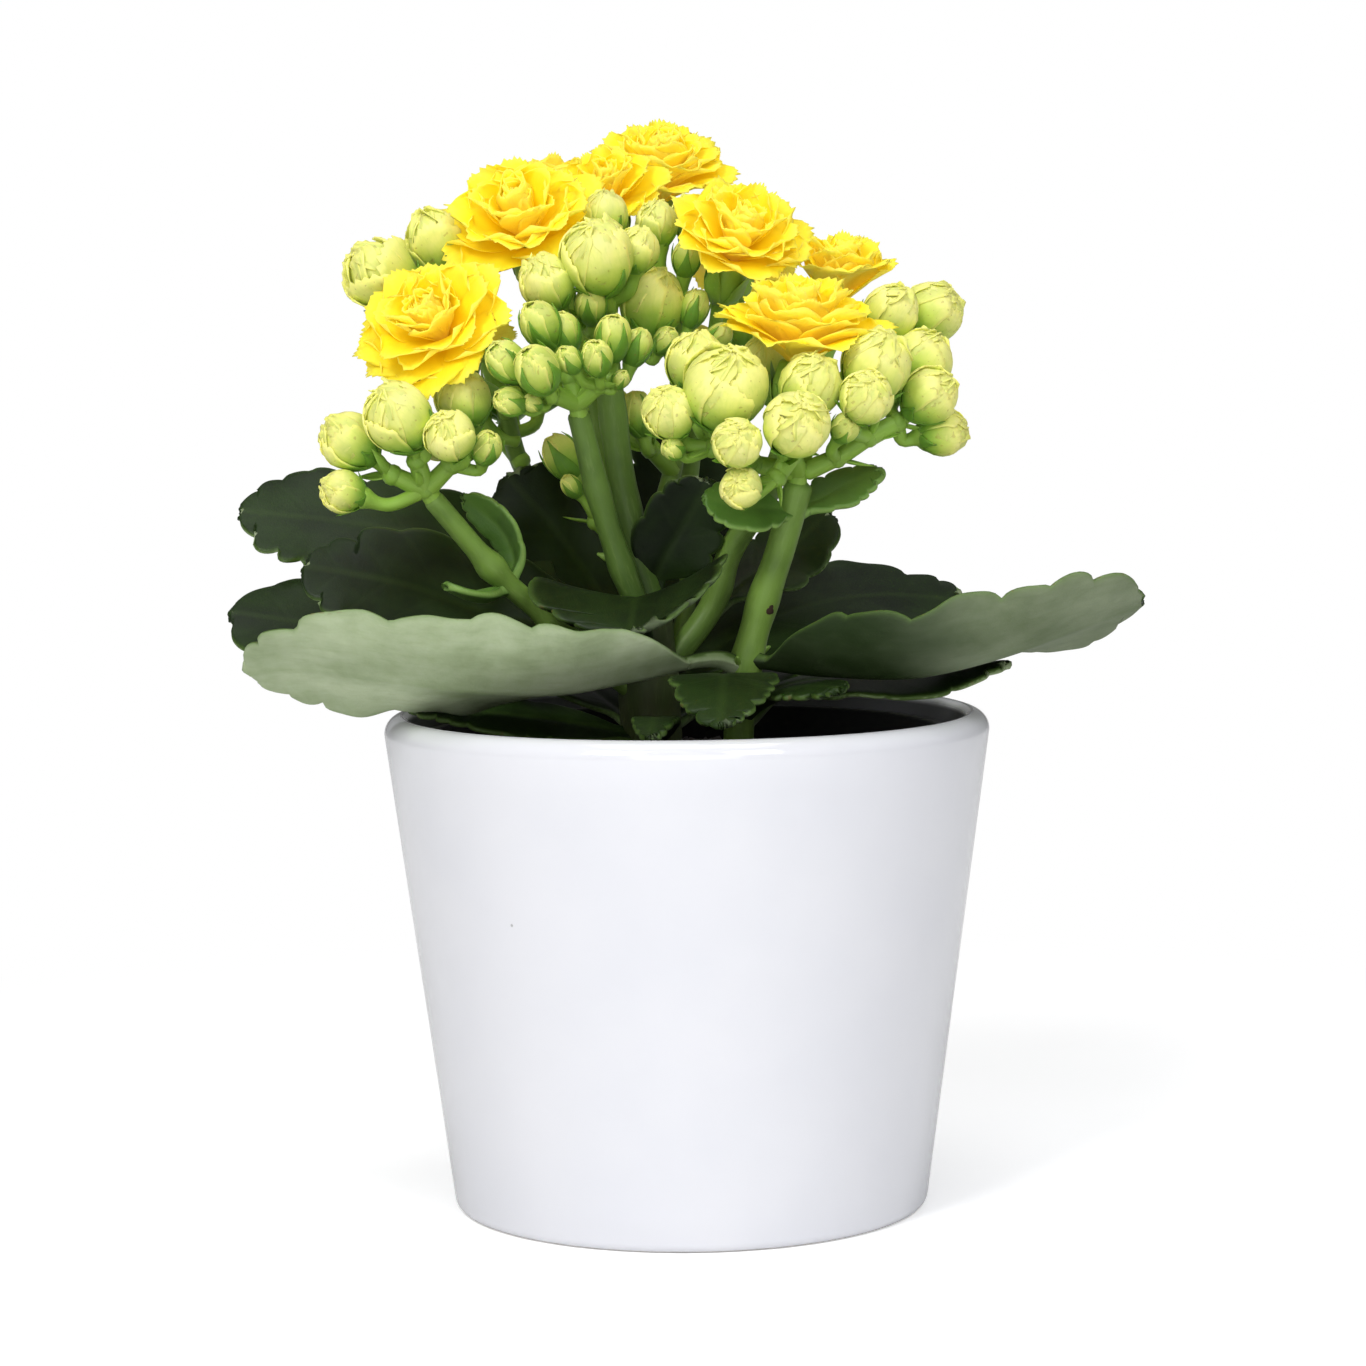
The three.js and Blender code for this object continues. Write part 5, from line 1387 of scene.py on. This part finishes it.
def bud_form(seed, kind):
    """A bud of unit radius, foot down: lapped fringed petals round a crumpled eye, and four sepals."""
    rng = random.Random(seed)
    young = kind == "young"
    form = Form()
    form.ball((0, 0, 0), (0.9, 0.9), sides=14, ripe=0.6)
    form.ball((0, 0, -0.86), (0.5, 0.26), sides=14, ripe=0.0)
    top = 0.75 if young else 1.0
    swing = rng.uniform(0, 6.3)
    for k in range(5):
        turn = swing + 2 * np.pi * k / 5 + rng.uniform(-0.2, 0.2)
        end = {"ripe": (2.5, 2.15, 2.7, 2.3, 2.6)[k], "young": 2.75, "loose": 2.0 + 0.1 * k}[kind]
        flick = {"ripe": rng.uniform(0.0, 0.06), "young": 0.0, "loose": rng.uniform(0.12, 0.3)}[kind]
        bud_petal(form, rng, turn, 0.35, end + rng.uniform(-0.12, 0.12), rng.uniform(0.82, 0.98), 1.0,
                  0.065, flick, 0.085, (0.12 if not young else 0.0, top))
    for k in range(7 if not young else 3):
        turn = swing + 2.4 * k
        bud_petal(form, rng, turn, 1.3, rng.uniform(2.75, 3.25), rng.uniform(0.42, 0.62), 0.955,
                  rng.uniform(0.05, 0.1), rng.uniform(0.03, 0.12), 0.07, (0.6, 0.85 * top), 13, 6)
    for k in range(9 if not young else 0):
        turn = swing + 1.1 + 2.4 * k
        bud_petal(form, rng, turn, 2.1, rng.uniform(2.7, 3.2), rng.uniform(0.16, 0.28), 0.94,
                  rng.uniform(-0.2, 0.2), rng.uniform(0.08, 0.16), 0.1, (0.7, 0.8), 9, 4)
    for k in range(4):
        turn = swing + np.pi / 2 * k + rng.uniform(-0.15, 0.15)
        end = {"ripe": rng.uniform(1.15, 1.55), "young": rng.uniform(2.1, 2.5), "loose": 1.4}[kind]
        bud_petal(form, rng, turn, 0.1, end, 0.42 if not young else 0.62, 1.06, 0.0,
                  rng.uniform(0.05, 0.2), 0.0, (0.0, 0.02 if not young else 0.2), 9, 8, pointed=True)
    tall = {"ripe": rng.uniform(0.98, 1.1), "young": 1.34, "loose": 1.22}[kind]
    for places in form.places:
        low = np.clip(-places[:, 2], 0, 1)
        places[:, :2] *= (1 - 0.2 * low ** 1.6)[:, None]
        places[:, 2] = (places[:, 2] - 0.14 * low) * tall
    return form


def bud_tree():
    """Geometry Nodes: one bud on each point, turned to its axis, at its own size and kind."""
    g = new_tree("buds_on_points", Points="Geometry", Buds="Collection", Seed="Int", Surface="Material")
    source = g.node("NodeGroupInput")
    seed = source.of("Seed")
    axis = g.node("GeometryNodeInputNamedAttribute", {"data_type": "FLOAT_VECTOR"}, "axis")
    size = g.node("GeometryNodeInputNamedAttribute", {"data_type": "FLOAT"}, "size")
    kind = g.node("GeometryNodeInputNamedAttribute", {"data_type": "INT"}, "kind")
    upright = g.node("FunctionNodeAlignRotationToVector", {"axis": "Z"}, Vector=axis)
    spin = g.node("ShaderNodeCombineXYZ", {}, 0.0, 0.0, g.chance(0.0, 6.28, seed))
    turn = g.node("FunctionNodeRotateRotation", {"rotation_space": "LOCAL"}, upright,
                  g.node("FunctionNodeEulerToRotation", {}, spin))
    points = g.node("GeometryNodeMeshToPoints", {}, source.of("Points"))
    buds = g.repeated(source.of("Buds"), points, Instance_Index=kind, Rotation=turn, Scale=size)
    buds = g.toned(buds, "INSTANCE", g.chance(0.0, 1.0, seed + 2))
    return g.finished(buds, source.of("Surface"))


def outward(place):
    """Away from the middle of the plant and up."""
    return unit(np.array((place[0] - HEART[0], place[1] - HEART[1], max(place[2] - HEART[2], 6.0))))


def make_cymes():
    """The branched stalks with their buds, each cyme grown together into one piece."""
    buds = kit("bud", [bud_form(seed, kind) for seed, kind in BUD_SHAPES])
    shapes = {kind: [k for k, shape in enumerate(BUD_SHAPES) if shape[1] == kind] for _, kind in BUD_SHAPES}
    tree = bud_tree()
    for number, (name, cyme) in enumerate(CYMES.items()):
        rng = random.Random(300 + number)
        forks = [np.array(f[:3], float) for f in cyme["forks"]]
        form = Form()
        for fork, centre in zip(cyme["forks"][1:], forks[1:]):
            start = forks[fork[3]]
            form.tube(Line([start, centre]), np.linspace(1.3, 1.15, 8), 14, ripe=0.15)
            form.ball(centre, (1.42, 1.3), unit(centre - start), 14, ripe=0.1)
        places, axes, sizes, which = [], [], [], []
        for x, y, z, radius, fork in cyme["buds"]:
            centre, start = np.array((x, y, z), float), forks[fork]
            reach = np.linalg.norm(centre - start)
            axis = unit(unit(centre - start + (0, 0, 0.4 * reach)) + 0.55 * outward(centre))
            young = radius < YOUNG_BELOW or name in YOUNG_CYMES
            stretch, swell = (1.34, 0.98) if young else (1.06, 1.12)
            size = radius * swell
            foot = centre - axis * size * 1.02 * stretch
            bend = foot - axis * 0.3 * reach
            line = Line([start, bend, foot + axis * 0.4])
            thin = min(0.85, 0.36 * radius)
            radii = mix(1.0, thin, np.linspace(0, 1, 14) ** 0.5)
            radii[-4:] = (thin * 1.08, thin * 1.25, mix(thin, size, 0.28), mix(thin, size, 0.4))
            form.tube(line, radii, 14, ripe=0.0)
            places.append(centre * MM)
            axes.append(axis)
            sizes.append(size * MM)
            which.append(rng.choice(shapes["young" if young else "ripe"]))
            if name == LOOSE_CYME:
                which[-1] = rng.choice(shapes["loose"])
        for fork, centre in zip(cyme["forks"][1:], forks[1:]):
            for side in (-1, 1):
                form.take(bracteole(centre, forks[fork[3]], side, rng))
        branches = form.made(name + "_branches", BRANCH)
        mesh = bpy.data.meshes.new(name + "_points")
        mesh.from_pydata([tuple(p) for p in places], [], [])
        carry(mesh, "axis", "FLOAT_VECTOR", np.array(axes).ravel())
        carry(mesh, "size", "FLOAT", sizes)
        carry(mesh, "kind", "INT", which)
        heads = bpy.data.objects.new(name + "_heads", mesh)
        grown(heads, tree, Buds=buds, Seed=number, Surface=BUD)
        shown(joined(name + "_grown", [heads, branches]), name)


def bracteole(place, before, side, rng):
    """A small narrow leaf at a fork of a cyme."""
    way = unit(place - before)
    across = unit(np.cross(way, outward(place)))
    out = unit(side * across + 0.3 * outward(place) + 0.5 * way)
    length = rng.uniform(2.0, 3.3)
    foot = place + out * 0.8
    widest = rng.uniform(0.7, 1.05)
    line = Line([foot, foot + out * length * 0.5 + way * 0.6, foot + out * length + way * 1.8])
    shares = np.linspace(0, 1, 9)
    a = np.linspace(-1, 1, 7)[None]
    half = widest * (0.5 + 0.5 * np.sin(np.pi * shares ** 0.7)) * (1 - shares ** 3)
    along = line.along(shares)
    above = unit(way - along * np.sum(along * way, -1, keepdims=True))
    beside = np.cross(above, along)
    middle = line.at(shares)[:, None] + beside[:, None] * (a * half[:, None])[..., None]
    middle = middle + above[:, None] * (0.35 * np.abs(a) * half[:, None])[..., None]
    thick = 0.22 * (1 - 0.75 * a ** 2) * (1 - 0.7 * shares[:, None])
    flow = np.stack([np.broadcast_to(shares[:, None] * length, thick.shape), a * half[:, None],
                     np.zeros_like(thick)], -1)
    return small_leaf(middle, thick, flow, 0.0)


def small_leaf(middle, thick, flow, ripe):
    """A thin closed leaf that looks the same on both sides."""
    form = Form()
    form.shell(middle, thick, thick, flow, ripe=ripe)
    form.marks["under"] = [np.zeros_like(m) for m in form.marks["under"]]
    return form


# ---------------------------------------------------------------- flowers


def petal_form(whorl, rng):
    """One petal, its foot at the flower's middle: a wedge that widens to a toothed, waved end."""
    length, half, start_r, start_z, lean_in, lean_out, cup, ruffle = whorl
    length *= rng.uniform(0.93, 1.05)
    rows, columns = 11, 17
    b = np.linspace(0, 1, rows)[:, None]
    a = np.linspace(-1, 1, columns)[None]
    points = np.array([rng.choice((0.0, 0.35, 0.7, 1.0, 1.25)) if j % 2 else 0.0
                       for j in range(columns)])[None]
    jag = points * (1 - 0.6 * np.abs(a)) * np.clip((b - 0.8) / 0.2, 0, 1) ** 1.5
    reach = b * (1 - 0.2 * np.abs(a) ** 2.4) + 0.06 * jag
    spots = np.linspace(0, 1.15, 60)
    lean = np.radians(mix(lean_in, lean_out, spots ** 1.15))
    step = length * 1.15 / 59
    r = start_r + np.concatenate([[0], np.cumsum(np.sin(lean[1:]) * step)])
    z = start_z + np.concatenate([[0], np.cumsum(np.cos(lean[1:]) * step)])
    radius, height, angle = (np.interp(reach, spots, values) for values in (r, z, lean))
    shape = 0.24 + 0.76 * np.sin(np.pi / 2 * np.clip(b / 0.74, 0, 1)) ** 1.25
    shape = shape * (1 - 0.36 * np.clip((b - 0.74) / 0.26, 0, 1) ** 2)
    x = a * half * shape
    skew = rng.uniform(-0.5, 0.5)
    lift = cup * half * (a ** 2) * b ** 0.6
    lift = lift + ruffle * np.sin(a * rng.uniform(2.6, 4.2) + rng.uniform(0, 6)) * b ** 2
    lift = lift + 0.25 * ruffle * np.sin(a * rng.uniform(8, 11) + rng.uniform(0, 6)) * b ** 3
    lift = lift + skew * a * b ** 2 * ruffle
    middle = np.stack([x, radius - lift * np.cos(angle), height + lift * np.sin(angle)], -1)
    thick = mix(0.15, 0.065, b) * (1 - 0.45 * np.abs(a) ** 3)
    flow = np.stack([reach * length, x, np.zeros_like(x)], -1)
    edge = np.maximum(np.abs(a) ** 5 * b, np.clip((reach - 0.82) / 0.18, 0, 1))
    form = Form()
    form.shell(middle[:, ::-1], thick, thick, flow[:, ::-1], edge=edge[:, ::-1], ripe=np.clip(reach, 0, 1))
    return form


def rosette_tree():
    """Geometry Nodes: petals round an axis by the golden angle, small and upright in the heart."""
    g = new_tree("petal_rosette", Head="Geometry", Petals="Collection", Count="Int", Kinds="Int",
                 Of_each_kind="Int", Turn="Float", Opening="Float", Size="Float", Seed="Int",
                 Surface="Material")
    source = g.node("NodeGroupInput")
    seed, count = source.of("Seed"), source.of("Count")
    number = g.node("GeometryNodeInputIndex")
    share = number / count

    def chance(low, high, shift):
        return g.chance(low, high, seed + shift)

    kind = (share ** 0.85 * source.of("Kinds")).maths("FLOOR")
    pick = chance(0.0, 0.999, 1) * source.of("Of each kind")
    pick = kind * source.of("Of each kind") + pick.maths("FLOOR")
    lean = -(source.of("Opening") * share) + chance(-0.09, 0.09, 2)
    turn = number * source.of("Turn") + chance(-0.2, 0.2, 3)
    pose = g.node("FunctionNodeEulerToRotation", {},
                  g.node("ShaderNodeCombineXYZ", {}, lean, chance(-0.06, 0.06, 4), turn))
    size = source.of("Size") * chance(0.93, 1.06, 5)
    points = g.node("GeometryNodePoints", {}, count)
    petals = g.repeated(source.of("Petals"), points, Instance_Index=pick, Rotation=pose, Scale=size)
    petals = g.toned(petals, "INSTANCE", chance(0.0, 1.0, 6) * 0.4 + share * 0.6)
    return g.finished(petals, source.of("Surface"))


def make_flowers():
    """The double flowers: a rosette of petals on a green cup with its sepals and stalk."""
    rng = random.Random(77)
    petals = kit("petal", [petal_form(whorl, rng) for whorl in WHORLS for _ in range(PETALS_OF_A_KIND)], MM)
    tree = rosette_tree()
    petal_foot = FLOWER_CUP[-1][1]
    for number, (name, flower) in enumerate(FLOWERS.items()):
        flower = {**FLOWER_USUAL, **flower}
        k = flower["radius"] / FLOWER_FULL_RADIUS
        facing = unit(np.array(flower["axis"], float))
        centre = np.array(flower["centre"], float)
        turn_to = Vector((0, 0, 1)).rotation_difference(Vector(facing)).to_matrix().to_4x4()
        place = Matrix.Translation(Vector(centre)) @ turn_to
        head = bpy.data.objects.new(name + "_petals", bpy.data.meshes.new(name + "_petals"))
        grown(head, tree, Petals=petals, Count=flower["petals"], Kinds=len(WHORLS),
              Of_each_kind=PETALS_OF_A_KIND, Turn=GOLDEN_ANGLE, Opening=flower["opening"],
              Size=k * flower["fuller"], Seed=number * 10, Surface=PETAL)
        lift = Matrix.Translation(Vector((0, 0, petal_foot * k * MM)))
        head.data.transform(Matrix.Translation(Vector(centre * MM)) @ turn_to @ lift)
        form = Form()
        base = Form()
        base.lathe([(r * k, z * k) for r, z in FLOWER_CUP], 24, ripe=0.1)
        for side in range(4):
            base.take(flower_sepal(k, np.pi / 2 * side + number, rng))
        form.take(base.moved(place))
        last = centre - facing * (STALK_END * k)
        line = Line([np.array(p, float) for p in flower["stalk"][::-1]] + [last])
        radii = np.full(24, 0.92)
        radii[-3:] = (0.96, 1.1, 1.3)
        form.tube(line, radii, 14, ripe=0.1)
        stalk = form.made(name + "_stalk", BRANCH)
        shown(joined(name + "_grown", [head, stalk]), name)


def flower_sepal(k, turn, rng):
    """One of the four green sepals that hold a flower's tube."""
    b = np.linspace(0, 1, 9)[:, None]
    a = np.linspace(-1, 1, 7)[None]
    half = 2.0 * np.sin(np.pi * (0.12 + 0.88 * b) ** 0.8) ** 0.7 * (1 - 0.25 * b) * k
    height = mix(-13.0, -5.6 + rng.uniform(-0.6, 0.6), b) * k
    out = (np.interp(b, (0, 0.3, 0.6, 1), (1.6, 2.95, 3.1, 3.1 + rng.uniform(0.1, 0.9))) + 0.12) * k
    angle = a * half / np.maximum(out, 0.5)
    middle = np.stack([out * np.cos(angle), out * np.sin(angle), height * np.ones_like(a)], -1)
    thick = 0.16 * (1 - 0.7 * a ** 2) * (1.1 - 0.8 * b)
    flow = np.stack([height * np.ones_like(a), a * half, np.zeros_like(angle)], -1)
    return small_leaf(middle, thick, flow, 0.15).moved(Matrix.Rotation(turn, 4, "Z"))


# ---------------------------------------------------------------- camera, light and floor


def make_camera():
    """The camera at the photograph's viewing angle."""
    data = bpy.data.cameras.new("camera")
    data.sensor_width = SENSOR_WIDTH
    data.lens = LENS_PIXELS * SENSOR_WIDTH / PICTURE_WIDTH
    data.clip_start, data.clip_end = 0.01, 20
    camera = bpy.data.objects.new("camera", data)
    turn = Matrix.Rotation(math.pi / 2 - CAMERA_PITCH, 4, "X") @ Matrix.Rotation(-CAMERA_ROLL, 4, "Z")
    camera.matrix_world = Matrix.Translation(Vector(CAMERA_PLACE) * MM) @ turn
    on_scene(camera)
    bpy.context.scene.camera = camera


def make_light(name, place, aim, size, power, tint):
    """A softbox at a place, turned to its aim."""
    data = bpy.data.lights.new(name, "AREA")
    data.shape, data.size, data.size_y = "RECTANGLE", size[0], size[1]
    data.energy, data.color = power, tint
    lamp = bpy.data.objects.new(name, data)
    turn = (Vector(aim) - Vector(place)).to_track_quat("-Z", "Y").to_matrix().to_4x4()
    lamp.matrix_world = Matrix.Translation(Vector(place)) @ turn
    on_scene(lamp)


def white_floor(g):
    """White paper that takes a faint soft shadow near the pot and reads as plain white to the camera."""
    far = g.node("ShaderNodeVectorMath", {"operation": "LENGTH"}, g.place()).of("Value").smooth(100, 220)
    seen = g.node("ShaderNodeLightPath").of("Is Camera Ray")
    paper = g.blend(g.noise(g.place(), 0.05), (0.93, 0.93, 0.93, 1), (0.95, 0.95, 0.95, 1))
    glow = seen * mix(0.36, 1.0, far)
    return {"Base_Color": g.blend(seen * far, paper, (0, 0, 0, 1)), "Roughness": 0.8,
            "Specular_IOR_Level": 0.0, "Emission_Color": g.blend(glow, (0, 0, 0, 1), (1, 1, 1, 1)),
            "Emission_Strength": 1.0}


def make_studio():
    """A white room with a white floor and four softboxes."""
    world = bpy.data.worlds.new("studio")
    bpy.context.scene.world = world
    world.use_nodes = True
    g = Graph(world.node_tree)
    seen = g.node("ShaderNodeLightPath").of("Is Camera Ray")
    room = g.node("ShaderNodeBackground", {}, (1, 1, 1, 1), mix(ROOM_LIGHT, 1.0, seen))
    g.node("ShaderNodeOutputWorld", {}, room)
    form = Form()
    form.lathe([(0, -4)] + [(r, 0) for r in (4000, 3990, 900, 400, 150, 60)] + [(0, 0)], 96)
    floor = form.made("floor", material("pale_floor", white_floor))
    on_scene(floor)
    for name, softbox in SOFTBOXES.items():
        make_light(name, *softbox)
    view = bpy.context.scene.view_settings
    view.view_transform, view.look = "Standard", "None"


make_camera()
make_studio()
make_cover_pot()
make_nursery_pot()
make_peat()
make_stems()
make_leaves()
make_cymes()
make_flowers()
